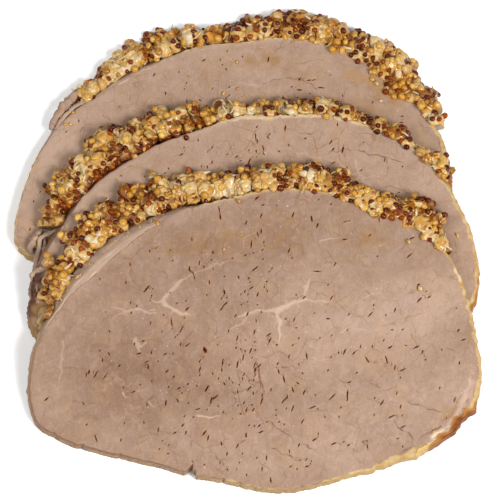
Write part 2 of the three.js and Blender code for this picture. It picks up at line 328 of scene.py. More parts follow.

# marks on the cut faces, each from the slice's own centre; lines are (points, width, strength), spots
# are ((x, y), (width, height), strength), and paint is (points, width, colour, strength); heart is
# where the slits gather, as (x, y, width, height), light is the face's overall lightness, partly painted
# light and shade, and pale that of its left edge, with a painted sheen where the edge rolls over; the
# tone and shade spots are partly painted light and shade where slices and coats shade one another,
# partly the flesh's own tone
marks = {
    "back": {
        "pores": 100, "seed": 11, "heart": (8, 18, 34, 10), "pale": 0.25, "light": 0.15,
        "veins": [
            ([(-3, 24), (2, 27), (9, 26)], 0.3, 0.35), ([(24, 16), (29, 22)], 0.28, 0.4),
            ([(-34, 26.5), (-30, 29.8), (-25, 32)], 0.34, 0.9)],
        "cracks": [
            ([(-38, 17), (-35, 13.5)], 0.3, 0.6), ([(27, 23), (30, 17), (27, 12)], 0.22, 0.5),
            ([(9, 27), (15, 29), (21, 28), (25, 25)], 0.22, 0.6), ([(21, 28), (19, 32)], 0.2, 0.5),
            ([(17, 33), (24, 34.5)], 0.2, 0.4), ([(34, 26), (31, 20), (35, 15)], 0.2, 0.5),
            ([(-31, 27), (-30.2, 22), (-30, 18)], 0.2, 0.4)],
        "stains": [
            ((10, 34.5), (8, 2.8), 1), ((20, 29), (6, 2.5), 0.5), ((44, 22), (5, 5), 0.8), ((36, 18), (4, 3), 0.4),
            ((-27, 20), (6, 3), 0.3)],
        "toneAndShadeSpots": [
            ((4, 36), (50, 7), 0.3), ((55, 5), (14, 12), 0.15), ((-50, -6), (10, 22), 1.1),
            ((-20, 12), (26, 8), -0.3), ((-44, 12), (12, 10), 0.4), ((10, 22), (20, 8), 0.35),
            ((-48, -14), (12, 14), 0.7), ((-36, -8), (9, 8), 0.5)],
        "paint": [
            ([(-52, 9), (-48, 17), (-42, 23.5), (-34, 28)], 0.6, (158, 132, 110), 0.5),
            ([(34, 30), (42, 27.5), (47, 23)], 1.6, (150, 110, 56), 0.4),
            ([(55, 12), (57, 4), (58, -4)], 0.8, (160, 130, 92), 0.4)],
    },
    "middle": {
        "pores": 110, "seed": 23, "heart": (-4, 28, 36, 9), "pale": 0.1, "light": 0.3,
        "veins": [
            ([(24.5, 27), (26.5, 24), (30, 21.5)], 0.24, 0.5), ([(29.5, 27), (30.2, 23), (29.5, 20)], 0.24, 0.55),
            ([(28.5, 23), (33, 21.5), (37, 21.8)], 0.24, 0.45), ([(30, 21.5), (34, 19)], 0.22, 0.5),
            ([(8, 31), (16, 28), (22, 27)], 0.2, 0.3)],
        "cracks": [
            ([(-2, 33), (2, 30)], 0.25, 0.5), ([(30, 30), (34, 28.5), (38, 28), (44, 26)], 0.22, 0.8),
            ([(22, 29), (27, 30), (30, 30)], 0.2, 0.6), ([(38, 28), (39, 24), (37, 20)], 0.2, 0.5),
            ([(10, 37), (14, 35), (19, 35.5)], 0.2, 0.5), ([(36, 18.5), (44, 18), (50, 15)], 0.22, 0.5),
            ([(-8, 33), (-6, 29), (-9, 26)], 0.2, 0.4)],
        "stains": [
            ((-30, 25), (8, 3), 0.25), ((-58, -19), (5, 6), 1)],
        "toneAndShadeSpots": [
            ((0, 38), (40, 5), 0.2), ((50, 8), (14, 18), 0.4), ((-20, 20), (30, 8), 0.05),
            ((-46, 10), (14, 12), 1.2), ((-49, 3), (7, 5), 0.4), ((-4, 15), (20, 7), 0.5), ((28, 26), (16, 6), 0.3)],
        "paint": [
            ([(-61.6, -7), (-62.2, -12), (-61.8, -17)], 2.2, (64, 36, 24), 0.95),
            ([(-58.5, -13), (-59.5, -16.5), (-59.6, -20), (-60, -24)], 2.4, (134, 100, 62), 0.9),
            ([(-54.5, -14), (-56.5, -18), (-58, -21.5)], 0.5, (178, 150, 104), 0.8)],
    },
    "front": {
        "pores": 340, "seed": 37, "heart": (2, -8, 38, 24), "pale": 0.45, "light": -0.4,
        "veins": [
            ([(6.5, 5.5), (2, 5.6), (-2, 5), (-4.5, 3.6)], 0.34, 0.7),
            ([(6.5, 5.5), (9, 7), (12, 8.2), (14.5, 8.5), (16.5, 8.4)], 0.62, 1),
            ([(14.5, 8.5), (14.4, 11), (15.2, 13.5), (16, 15.4)], 0.34, 0.8),
            ([(14.5, 8.5), (17, 8), (19.5, 8.6), (22.5, 8.8)], 0.3, 0.6),
            ([(6.5, 5.5), (7.1, 3.5), (7.5, -0.5), (7.2, -3.5)], 0.44, 0.9),
            ([(-1.5, 4.8), (-3.5, 2), (-8, -0.4)], 0.24, 0.5), ([(9, 7), (8.4, 9), (9.2, 11)], 0.2, 0.4),
            ([(12, 8.2), (12.6, 6.4), (14.6, 5.2)], 0.18, 0.4), ([(7.1, 3.5), (5.6, 2.2), (5.2, 0.4)], 0.18, 0.4),
            ([(-25.5, 8.5), (-23, 11.5), (-20.5, 14), (-18, 15.6)], 0.44, 0.75),
            ([(-25.5, 8.5), (-22.5, 6), (-19.6, 4.6), (-17.4, 4.2)], 0.5, 0.85),
            ([(-25.5, 8.5), (-27.5, 8), (-29, 8.6)], 0.3, 0.6),
            ([(-22.5, 6), (-23.6, 4.4), (-23.4, 2.8)], 0.22, 0.45),
            ([(-27.5, 6.1), (-31.5, 6), (-35.5, 6.2), (-40, 7)], 0.26, 0.55),
            ([(-20, 14.4), (-15, 17.4), (-11, 19), (-5, 20)], 0.24, 0.4),
            ([(-35.5, 6.2), (-37.6, 4.6), (-39, 4.6)], 0.2, 0.4),
            ([(-30.5, 5.8), (-29, 4.8), (-26.8, 5.2)], 0.3, 0.6),
            ([(18.5, 25.4), (21, 26.6), (24.5, 27)], 0.24, 0.6),
            ([(30.5, 9.4), (33, 10.4), (36, 10.4)], 0.22, 0.45),
            ([(-32, -5), (-33, -1.5), (-31.4, -3.4), (-29.6, -2.6)], 0.4, 0.6),
            ([(-53, -2), (-53.6, -8), (-54.5, -15)], 0.36, 0.4),
            ([(-15.6, -22.8), (-12.6, -23.6), (-9.6, -23)], 0.34, 0.8), ([(-29, -19), (-26.8, -21)], 0.3, 0.5),
            ([(-36, -16), (-35, -17.5)], 0.45, 0.7), ([(-3, 23), (-2.4, 27), (1, 29)], 0.2, 0.3),
            ([(50.2, -28.8), (51.8, -27.3), (53.2, -25.6), (54.6, -23.9), (56.1, -22), (57.2, -20.2), (58.3,
             -17.8), (59.6, -14.6), (60.6, -11.6)], 0.7, 0.6),
            ([(50.6, -28.2), (52, -26.8), (53.9, -24.9)], 1.3, 1.5), ([(16, -7), (21, -7.5)], 0.22, 0.4),
            ([(22, -15), (27, -17)], 0.22, 0.35), ([(24, 0), (29, 1.2), (33, 0.6)], 0.2, 0.35)],
        "cracks": [
            ([(0.5, -8), (2, -12), (2, -13.5), (3.5, -18)], 0.24, 0.8), ([(2, -13.5), (0, -19)], 0.2, 0.7),
            ([(2, -23.5), (6.5, -26), (10, -28.5), (11.5, -30.5)], 0.22, 0.7),
            ([(2, -13.5), (-5, -17), (-6, -22)], 0.2, 0.5), ([(5, -31.5), (10, -33.5), (13.4, -34.8)], 0.24, 0.9),
            ([(13.5, -30.5), (18, -32.7)], 0.2, 0.7), ([(2, -36), (6.5, -38.3)], 0.2, 0.8),
            ([(-11, -32.5), (-6, -38.6)], 0.2, 0.6), ([(27, -29.5), (28.5, -31)], 0.2, 0.8),
            ([(23.5, -12.5), (26, -13.5), (28, -17)], 0.2, 0.6),
            ([(42.5, -26.6), (40.1, -24.9), (38.5, -23.8)], 0.26, 1),
            ([(42.5, -26.6), (44.3, -28.3), (43.9, -30.6), (40.6, -32.6)], 0.3, 0.7),
            ([(46.2, -28.2), (49.7, -26.3), (52.4, -24.4)], 0.25, 0.9),
            ([(54.2, -22.4), (56, -20.2), (57.3, -17.6), (58.6, -14.2)], 0.2, 0.5),
            ([(48.4, -30.4), (47, -30.2), (45.6, -31.6), (44.8, -33.4)], 0.22, 0.8),
            ([(54.6, -26.6), (57.2, -23.4), (58.8, -20.2), (60.9, -16.2)], 0.24, 0.6),
            ([(59.6, -17.4), (57.9, -20.4), (55.6, -23.2)], 0.16, 0.5),
            ([(42.9, -18.7), (49, -20.4), (53.7, -21.6)], 0.22, 0.8),
            ([(28, -17), (35, -19), (40, -19.5)], 0.2, 0.5), ([(8, -9), (14, -13), (16, -19)], 0.2, 0.45),
            ([(-14, 6), (-10, 2), (-12, -3)], 0.2, 0.35),
            ([(-28, -13), (-27.6, -17), (-30, -20), (-33, -23)], 0.4, 0.35),
            ([(-44, -19), (-50, -18), (-53, -22)], 0.3, 0.35), ([(-47, -11), (-41, -13), (-36, -11)], 0.3, 0.25),
            ([(-32, -28), (-26, -27), (-20, -27)], 0.25, 0.3), ([(44, 0), (48, -6), (47, -12)], 0.2, 0.35),
            ([(55, -4), (56, -9)], 0.2, 0.4)],
        "stains": [
            ((-20, 23.5), (9, 2.6), 0.6), ((-5, 27), (12, 2.4), 0.6), ((9, 31.5), (6, 3), 0.5),
            ((32, 26.5), (7, 2.4), 0.8), ((6, 24), (9, 2.4), 0.3), ((54.2, -21.2), (2, 1.7), 1.6),
            ((53, -19.6), (3.2, 2), 0.5), ((-46, -27), (7, 5), 0.2), ((-58, 2), (3, 6), 0.2)],
        "toneAndShadeSpots": [
            ((-46, 6), (13, 22), 0.12), ((-30, -12), (20, 12), -0.85), ((-16, 22), (28, 8), -0.5),
            ((30, -6), (26, 20), 0.5), ((44, 12), (14, 14), 0.35), ((8, -34), (34, 7), 0.55),
            ((-42, -27), (9, 5), 0.35), ((8, 4), (16, 10), 0.25), ((-57, -14), (6, 12), 0.15),
            ((-42, 4), (12, 12), -0.35), ((-42, -14), (10, 8), -0.2), ((20, 14), (15, 8), 0.6),
            ((-31, 21), (9, 5), 0.4), ((-14, 20), (8, 4), 0.35), ((10, -13), (10, 5), 0.3), ((48, 2), (7, 5), 0.35),
            ((38, -5), (18, 5), 0.3)],
        "paint": [
            ([(60.9, -13), (60, -16.4), (58.6, -19.4)], 0.7, (164, 132, 108), 0.5),
            ([(47.6, -31.2), (46.2, -32.2)], 0.9, (182, 158, 104), 0.7)],
    },
}

# widths in from the edge against the bearing: golden rind, roasted brown, and the hem where the
# roast's skin turns over onto the face; nicks are (bearing, depth, width)
rims = {
    "back": {
        "rind": [
            (0, 1.6), (12, 1.2), (24, 0.6), (60, 0.6), (90, 0.45), (120, 0.3), (140, 0), (165, 0), (178, 0.35),
            (200, 0.5), (250, 0.2), (320, 0.8), (350, 1.6)],
        "roast": [
            (0, 0.9), (14, 0.15), (60, 0), (170, 0.15), (200, 0.2), (300, 0.2), (345, 0.9), (354, 1.2)],
    },
    "middle": {
        "rind": [
            (0, 1.2), (12, 1.2), (25, 0.8), (45, 0.8), (62, 1.4), (80, 1.7), (98, 1.2), (114, 0), (160, 0),
            (190, 0.1), (205, 0.4), (300, 0.8), (345, 1.5)],
        "roast": [
            (0, 0.1), (60, 0), (122, 0.3), (140, 0.4), (156, 0.2), (185, 0.1), (196, 0.1), (300, 0.2), (344, 0.8),
            (352, 0.7)],
    },
    "front": {
        "rind": [
            (0, 1), (14, 1), (26, 0.6), (45, 0.6), (60, 0.8), (90, 0.9), (108, 0.5), (118, 0), (180, 0),
            (240, 0.12), (262, 0.35), (285, 0.3), (303, 0.45), (312, 0.8), (319, 1.6), (325, 2.1), (331, 1.2),
            (340, 1.5), (350, 1.1)],
        "roast": [
            (0, 0), (60, 0), (110, 0.1), (150, 0.15), (185, 0.3), (235, 0.2), (290, 0.1), (323, 0.3), (327, 0.9),
            (333, 1.8), (337, 2.8), (340, 2.4), (343, 1.2), (346, 0.1)],
    },
    "hem": {
        "back": [
            (0, 0), (124, 0), (132, 0.5), (142, 0.9), (150, 0.5), (158, 0)],
        "middle": [
            (0, 0), (120, 0), (126, 0.01), (160, 0.01)],
        "front": [
            (0, 0), (118, 0), (126, 0.4), (135, 1.4), (147, 2.5), (157, 2.9), (162, 2.8), (166, 1.9), (171, 1),
            (178, 0.6), (190, 0.4), (222, 0.3), (240, 0), (300, 0)],
    },
    "nicks": [
        (205.6, 0.6, 0.7), (212, 0.8, 0.6), (221.2, 0.6, 0.6), (244.6, 2.9, 1.3), (246.4, 1.5, 0.9),
        (258, 0.7, 0.8), (264.6, 0.5, 0.5), (342.2, -0.9, 1.3), (323.6, -0.9, 2.6), (337.8, 0.35, 1.6),
        (349.5, -0.4, 1.4)],
}
askewRuns = ((205.6, 212), (212, 221.2), (221.2, 244.6))   # bearings of the stretches between the nicks
nickRadius = 50             # where the nicks' widths are measured
farLine = (9.0, 9.0, 0.0)   # what a place far from every line reads


# a square grid bent into a disc: each square of the grid becomes a ring, evenly turned
def discGrid(cells):
    line = np.linspace(-1, 1, cells + 1)
    v, u = np.meshgrid(line, line, indexing="ij")
    share = np.maximum(abs(u), abs(v))
    sideways = 45 * v / np.where(u == 0, 1, u) + np.where(u < 0, 180, 0)
    upright = 90 - 45 * u / np.where(v == 0, 1, v) + np.where(v < 0, 180, 0)
    return share, np.where(abs(u) >= abs(v), sideways, upright)


# indices round the edge of that grid, anticlockwise from the corner at bearing -45
def gridEdge(cells):
    side = np.arange(cells)
    n = cells + 1
    return np.concatenate([side * n + cells, cells * n + cells - side, (cells - side) * n, side])


# extra radius of the ragged edge: slow waves, a crumbly rind, steps and nicks on the front slice
def edgeWander(cut, turn):
    x, y = polar(60, turn)
    seed = marks[cut["name"]]["seed"]
    crumbly = smooth(aroundKnots(rims[cut["name"]]["rind"], turn) / 1.2)
    slow, fine = meat["raggedLength"]
    extra = waves(x, y, slow, seed) - 1.4 + (0.4 + 0.9 * crumbly) * waves(x, y, fine, seed + 1)
    extra = meat["ragged"] * extra
    if cut["name"] == "front":
        for at, depth, width in rims["nicks"]:
            arc = turnFrom(turn, at) * np.pi / 180 * nickRadius
            extra = extra - depth * np.clip(1 - abs(arc) / width, 0, 1)
        for low, high in askewRuns:
            step = np.clip((turn - low) / (high - low), 0, 1)
            extra = extra + meat["askew"] * np.where((turn > low) & (turn < high), step - 0.5, 0)
    return extra


# slits in the cut face, as (x, y, half length, half width, lean, strength): places drawn at random,
# kept apart, mostly in the heart of the slice
def drawPores(cut):
    own = marks[cut["name"]]
    seed = own["seed"]
    draw = np.random.default_rng(seed)
    hx, hy, wide, deep = own["heart"]
    (short, longer), (thin, wider) = meat["slitLength"], meat["slitWidth"]
    leftLean, turned, spread = meat["slitLean"]
    anywhere, hearty, broad = meat["slitChance"]
    places = []
    while len(places) < own["pores"]:
        turn, share = draw.uniform(0, 360), np.sqrt(draw.uniform(0, 1)) * meat["slitReach"]
        x, y = polar(share * float(cutRadius(cut, turn)), turn)
        heart = np.exp(-((x - hx) / wide) ** 2 - ((y - hy) / deep) ** 2)
        likely = anywhere + hearty * heart + broad * float(waves(x, y, 13, seed + 1))
        apart = all(np.hypot(x - q[0], y - q[1]) > meat["slitApart"] for q in places)
        if apart and draw.uniform(0, 1) < likely:
            big = draw.uniform(0, 1) ** 2
            lean = leftLean - turned * float(smooth((x - 5) / 30) * smooth((y + 8) / 16))
            lean = lean + spread * float(waves(x, y, 20, seed + 2)) + draw.normal(0, spread)
            places.append((x, y, short + longer * big**1.5, thin + wider * big * draw.uniform(0.1, 1), lean,
                           0.55 + 0.45 * draw.uniform(0, 1)))
    if cut["name"] == "front":
        places.append(meat["hole"])
    return np.array(places)


# each point's place along and across its nearest slit, in half lengths, and that slit's strength
def poreField(x, y, pores):
    nearest = np.full(x.shape, 1e9)
    field = np.zeros(x.shape + (3,))
    for px, py, long, wide, lean, strength in pores:
        c, s = polar(1, lean)
        along = (x - px) * c + (y - py) * s
        across = (y - py) * c - (x - px) * s
        away = np.maximum(abs(across) - wide, abs(along) - long)
        closer = away < nearest
        nearest = np.where(closer, away, nearest)
        values = together(along / long, across / wide, np.where(away < 0.8, strength, 0))
        field = np.where(closer[..., None], values, field)
    return field


# distance to the nearest of some lines, in its own widths, that line's strength, and the way there;
# the lines wander because the places they are measured from do, and thin out towards the last point
def lineField(x, y, lines, wander, seed):
    bentX, bentY = [place + wander * manyWaves(x, y, (0.8, 4.5, seed + k), (0.25, 1.6, seed + k + 1))
                    for place, k in ((x, 0), (y, 2))]
    nearest = np.full(np.shape(x), farLine[0])
    power = np.zeros(np.shape(x))
    way = np.zeros(np.shape(x) + (3,))
    least, taper = meat["lineTaper"]
    for points, width, strength in lines:
        end = np.hypot(bentX - points[-1][0], bentY - points[-1][1])
        thin = width * (least + (1 - least) * smooth(end / taper))
        here = lineWay(bentX, bentY, points) / thin[..., None]
        away = np.linalg.norm(here, axis=-1)
        closer = away < nearest
        nearest = np.where(closer, away, nearest)
        power = np.where(closer, strength, power)
        way[..., :2] = np.where(closer[..., None], here, way[..., :2])
    return nearest, power, way


# soft spots added up, each a bell of its own width and height
def spotField(x, y, spots):
    field = np.zeros(np.shape(x))
    for (sx, sy), (wide, deep), strength in spots:
        field = field + strength * np.exp(-((x - sx) / wide) ** 2 - ((y - sy) / deep) ** 2)
    return field


# a colour as red, green and blue from 0 to 255 on a screen, made linear
def ink(r, g, b):
    c = np.array([r, g, b]) / 255
    linear = np.where(c <= 0.04045, c / 12.92, ((c + 0.055) / 1.055) ** 2.4)
    return (*linear.tolist(), 1.0)


# painted strokes: colour of the last one over each place, and how strongly any covers it
def paintField(x, y, strokes):
    colour, cover = np.zeros(x.shape + (3,)), np.zeros(x.shape)
    for points, width, shown, strength in strokes:
        here = strength * smooth(1.6 - np.linalg.norm(lineWay(x, y, points), axis=-1) / width)
        total = here + cover * (1 - here)
        part = (here / np.maximum(total, 1e-6))[..., None]
        colour = np.array(ink(*shown)[:3]) * part + colour * (1 - part)
        cover = total
    return colour, cover


# lightness of the outside: paler where the roast's skin slopes out at the upper left, darker at the foot
def wallShade(cut, turn):
    slope, foot, crest = bell(turn, 148, 34), bell(turn, 215, 30), bell(turn, 70, 40)
    return {"front": 1.25 * slope - 0.35 * foot,
            "middle": 1.5 * crest - 0.2 * slope - 0.2,
            "back": 1.3 * slope - 0.3}[cut["name"]]


# painted shade with a juice stain on the face: most against the coat of the next slice, fading away from it
def juiceAndShadeBand(level, x, y):
    if level + 1 == len(slices):
        return np.zeros(x.shape)
    cut = slices[level + 1]
    bearing, away = seenFrom(cut, x, y)
    reach = alongKnots(cut["reach"], np.mod(bearing + 90, 360) - 90)
    past = away - cutRadius(cut, bearing) - reach
    return np.exp(-(np.clip(past, 0, None) / meat["juiceAndShadeReach"]) ** 1.4) * (past > -3)


# places for streaks that run round the rim: a small circle for the bearing, and the depth
def bandPlace(turn, depth):
    return together(*polar(8, turn), depth).reshape(-1, 3)


# one slice: the cut face is a bent square grid, the wall is a rounded profile carried round the
# outline, and the underside is rings closing on one point
def makeSlice(level):
    cut = slices[level]
    own, rim = marks[cut["name"]], rims[cut["name"]]
    seed, cells = own["seed"], meat["cells"]
    share, turn = discGrid(cells)
    edge = gridEdge(cells)
    radius = share * (cutRadius(cut, turn) + edgeWander(cut, turn) * smooth((share - 0.9) / 0.1))
    dx, dy = polar(radius, turn)
    inside = (1 - share) * cutRadius(cut, turn)

    # relief of the cut face
    pores = poreField(dx, dy, drawPores(cut))
    slit = np.clip(1.25 - np.hypot(pores[..., 0], pores[..., 1]) * 0.6, 0, 1) * pores[..., 2]
    crackAway, crackPower, crackWay = lineField(dx, dy, own["cracks"], 0.3, seed + 5)
    veinAway, veinPower, veinWay = lineField(dx, dy, own["veins"], 0.26, seed + 9)
    rind = aroundKnots(rim["rind"], turn) * (1 + 0.2 * waves(dx, dy, 5, 81))
    brown = aroundKnots(rim["roast"], turn) * (1 + 0.25 * waves(dx, dy, 4, 82))
    relief = manyWaves(dx, dy, (meat["lumpy"], 19, seed + 3), (meat["pulled"], 3.2, seed + 4),
                       (0.4 * meat["pulled"], 1.3, seed + 6))
    relief = relief * smooth(inside / 3) - meat["edgeDrop"] * np.exp(-inside / 0.6)
    relief = relief - meat["poreDepth"] * slit - meat["crackDepth"] * crackPower * np.exp(-crackAway**2)
    relief = relief + meat["veinRise"] * veinPower * np.exp(-veinAway**2)
    relief = relief + meat["rindRise"] * smooth((rind - inside) / 0.6) * (0.6 + waves(dx, dy, 2.6, seed + 14))
    cx, cy = cut["centre"]
    x, y = cx + dx, cy + dy
    top = together(x, y, underside(level, x, y) + roast["thickness"] + relief).reshape(-1, 3)

    # wall: down is the share of the way from the cut face to the underside
    turns = turn.ravel()[edge]
    rows = meat["wallRows"]
    down = np.linspace(0, 1, rows + 1)[1:, None]
    wander = edgeWander(cut, turns)
    rough = 1.2 * meat["ragged"] * waves(turns * 0.9, down * 5, 2.3, seed + 8) * np.sin(np.pi * down)
    frayed = bell(turns, 196, 14) * (cut["name"] == "middle")
    tears = waves(turns, down * 3, 6, 95) + 0.6 * waves(turns * 1.3, down * 9, 2.1, 96)
    rough = rough + meat["frayed"] * frayed * tears
    cutEdge, rimEdge = cutRadius(cut, turns) + wander, rimRadius(cut, turns) + wander
    drawnIn, footShare = meat["footRound"]
    wall = (cutEdge + (rimEdge - cutEdge) * (down + meat["bulge"] * np.sin(np.pi * down))
            - drawnIn * np.exp(-(1 - down) / footShare) + rough)
    wallX, wallY = fromCentre(cut, wall, turns)
    lift = top[edge, 2] - underside(level, top[edge, 0], top[edge, 1])
    sides = together(wallX, wallY, underside(level, wallX, wallY) + lift * (1 - down)).reshape(-1, 3)

    # underside: rings towards the middle
    inwards = np.linspace(1, 0, meat["undersideRings"] + 2)[1:-1]
    ringX, ringY = fromCentre(cut, inwards[:, None] * wall[-1], turns)
    under = together(ringX, ringY, underside(level, ringX, ringY)).reshape(-1, 3)
    tip = np.array([[cx, cy, float(underside(level, np.array(cx), np.array(cy)))]])
    rest = np.concatenate([sides, under, tip])
    count = len(edge)
    loops = np.concatenate([edge[None], len(top) + np.arange((rows + len(inwards)) * count).reshape(-1, count)])
    skirt = loops.ravel()[gridQuads(len(loops), count, closed=True)][:, ::-1]
    fan = ringFan(loops[-1], len(top) + len(rest) - 1)[:, [0, 2, 1]]

    # what the face's colours read: rim is how far in from the edge (less than nothing down the wall) and
    # the widths of rind and roast there; tone is stain, lightness and cracks, with painted shade and a juice
    # stain beside the next coat and spots of painted light and shade; lines are for the veins
    # painted shade, with a juice stain, on the face beside the next slice's coat
    juiceAndShade = juiceAndShadeBand(level, x, y)
    stain = np.clip(spotField(dx, dy, own["stains"]) * (0.75 + 0.45 * waves(dx, dy, 5, seed + 7)), 0, 1)
    stain = np.clip(stain + meat["juiceAndShadeStain"] * juiceAndShade, 0, 1)
    # lightness: broad waves, and spots that are partly painted light and shade against the shading of the slices and
    # coats, partly the flesh's own tone
    light = manyWaves(dx, dy, (0.1, 24, seed + 12), (0.07, 8, seed + 13)) + spotField(dx, dy, own["toneAndShadeSpots"])
    # paler band inside the upper left edge: paler flesh with a painted sheen where the edge rolls over
    light = light + own["pale"] * np.exp(-((inside - 2.4) / 2.4) ** 2) * bell(turn, 140, 42)
    light = light + 1.2 * np.exp(-((inside - 0.7) / 0.8) ** 2) * bell(turn, 84, 38)
    # each slice's overall lightness, partly painted light and shade, less the painted shade by the next coat
    light = light + own["light"] - meat["paintedShadeByCoat"] * juiceAndShade
    hem = np.clip(aroundKnots(rims["hem"][cut["name"]], turn), 0, None)
    inHem = inside < hem
    light = np.where(inHem, wallShade(cut, turn), light)
    insideHem = np.where(inHem, -0.1 - 0.25 * (hem - inside) / np.maximum(hem, 0.01), inside - hem)
    bentX, bentY = dx + 0.35 * waves(dx, dy, 3.5, seed + 15), dy + 0.35 * waves(dx, dy, 3.5, seed + 16)
    paintColour, painted = paintField(bentX, bentY, own["paint"])

    # the same for the wall and the underside
    deep = len(rest) - len(sides)
    restTurn = seenFrom(cut, rest[:, 0], rest[:, 1])[0]
    depth = np.concatenate([np.repeat(-down.ravel(), count), np.full(deep, -1.0)])
    start = 0.35 * smooth(aroundKnots(rims["hem"][cut["name"]], restTurn) / 0.6)
    depth = depth * (1 - start) - start
    restColour, restPainted = paintField(rest[:, 0] - cx, rest[:, 1] - cy, own["paint"])
    bandDepth = np.concatenate([np.hypot(wall - cutEdge, lift * down).ravel(), np.full(deep, 9.0)])
    fields = {
        "rim": (together(insideHem, rind, brown),
                together(depth, aroundKnots(rim["rind"], restTurn), aroundKnots(rim["roast"], restTurn))),
        "band": (bandPlace(turn, -inside), bandPlace(restTurn, bandDepth)),
        "paint": (paintColour, restColour),
        "tone": (together(stain, light, crackPower), together(0, wallShade(cut, restTurn), 0)),
        "lines": (together(veinAway, crackAway, veinPower), np.tile(farLine, (len(rest), 1))),
        "veinWay": (veinWay, np.tile(farLine, (len(rest), 1))),
        "crackWay": (crackWay, np.tile(farLine, (len(rest), 1))),
        "pore": (pores, np.zeros((len(rest), 3))),
    }
    fields = {label: np.concatenate([face.reshape(-1, 3), others]) for label, (face, others) in fields.items()}
    fields["painted"] = np.concatenate([painted.ravel(), restPainted])
    return makePiece(f"meat_{cut['name']}", np.concatenate([top, rest]),
                     np.concatenate([gridQuads(cells + 1, cells + 1), skirt]), fan, fields)


meatPieces = [settle(makeSlice(level), "slice_" + cut["name"]) for level, cut in enumerate(slices)]


# ---- torn skin and fibres at the left ends

# strips are (points with heights, widths, thickness, lightness, rind), from the slice's own centre
torn = {
    "around": 12, "steps": 46,
    "back": [
        ([(-53.6, 12.6, 4.2), (-52.6, 15, 4.2), (-50.6, 18.4, 4.3), (-48.8, 21.2, 4.4), (-46.2, 23.6, 4.6), (-42.6,
         25.4, 4.6)], (0.5, 1.2, 1.3, 1.4, 1.2, 0.4), 0.75, 0.1, 0.1),
        ([(-52.2, 12.2, 5), (-50.2, 15.6, 5.2), (-47.8, 18.2, 5.2), (-44.8, 20.6, 5.1), (-40.8, 22.6, 4.9)], (0.2,
         0.6, 0.5, 0.6, 0.2), 0.5, 0.6, 0)],
    "middle": [
        ([(-56.2, 7, 7.6), (-58.2, 5.6, 7.4), (-60.8, 4.4, 7.2), (-61.4, 1.2, 6.9), (-61.8, -1.8, 6.6), (-62.4,
         -4.8, 6.4), (-62.6, -6.6, 6.6)], (0.25, 0.55, 0.75, 0.6, 0.75, 0.6, 0.3), 0.8, 0.9, 0),
        ([(-61, 7.2, 6.2), (-61.8, 5.6, 6.5), (-63, 3.7, 6.6), (-63.9, 1.7, 6.5), (-63.4, 0.2, 6.1)], (0.3, 0.9,
         1.1, 0.9, 0.3), 0.7, 0.7, 0),
        ([(-60.9, 5.2, 6.1), (-61.9, 3.4, 6.3), (-62.3, 1.6, 6.2)], (0.25, 0.5, 0.25), 0.7, -0.6, 0.35),
        ([(-60, 4.8, 6.4), (-59.8, 2.6, 6.7), (-60, 0.4, 7), (-60.4, -2.4, 7.2)], (0.2, 0.45, 0.45, 0.2), 0.8, 0.4,
         0),
        ([(-62.9, -9, 8), (-62.6, -7.4, 9.2), (-61.2, -6.4, 10), (-59.2, -6, 10.3), (-57, -5.8, 10.2), (-55.8,
         -6.4, 9.9)], (0.4, 0.75, 0.85, 0.8, 0.6, 0.25), 0.8, 0.7, 0),
        ([(-61.2, -5.4, 8.6), (-60.2, -3.4, 8.8), (-58.6, -2.2, 9.2)], (0.25, 0.55, 0.25), 0.8, 0.5, 0),
        ([(-62.6, -8, 7.6), (-62.9, -10.4, 7.2), (-62.7, -13, 6.5), (-62.2, -15.6, 5.8), (-61.6, -17.6, 5.2)],
         (0.4, 0.8, 0.9, 0.8, 0.3), 0.9, -1.6, 0),
        ([(-61.6, -8.2, 9), (-61.3, -10.6, 8.8), (-61, -13.2, 8.2), (-61.4, -15.2, 7.2)], (0.3, 0.6, 0.6, 0.25),
         0.7, -1, 0),
        ([(-62.4, -11.2, 7.6), (-61.6, -13, 8), (-60.8, -15.2, 7.4)], (0.2, 0.4, 0.2), 0.7, 0.8, 0),
        ([(-58.2, -13, 7.4), (-58.9, -16, 6.6), (-59.8, -19, 5.6), (-60.4, -22, 4.6), (-60.2, -25.4, 3.8)], (0.6,
         1.5, 1.7, 1.5, 0.5), 0.4, 0.5, 0.5),
        ([(-59.8, -15.2, 7), (-60.6, -18.4, 6), (-61.2, -21.6, 4.8)], (0.2, 0.5, 0.2), 0.6, 1, 0),
        ([(-57.6, -15, 7.6), (-58.4, -18, 6.8), (-59.4, -21, 5.8)], (0.2, 0.4, 0.2), 0.6, 0.3, 0.4)],
}


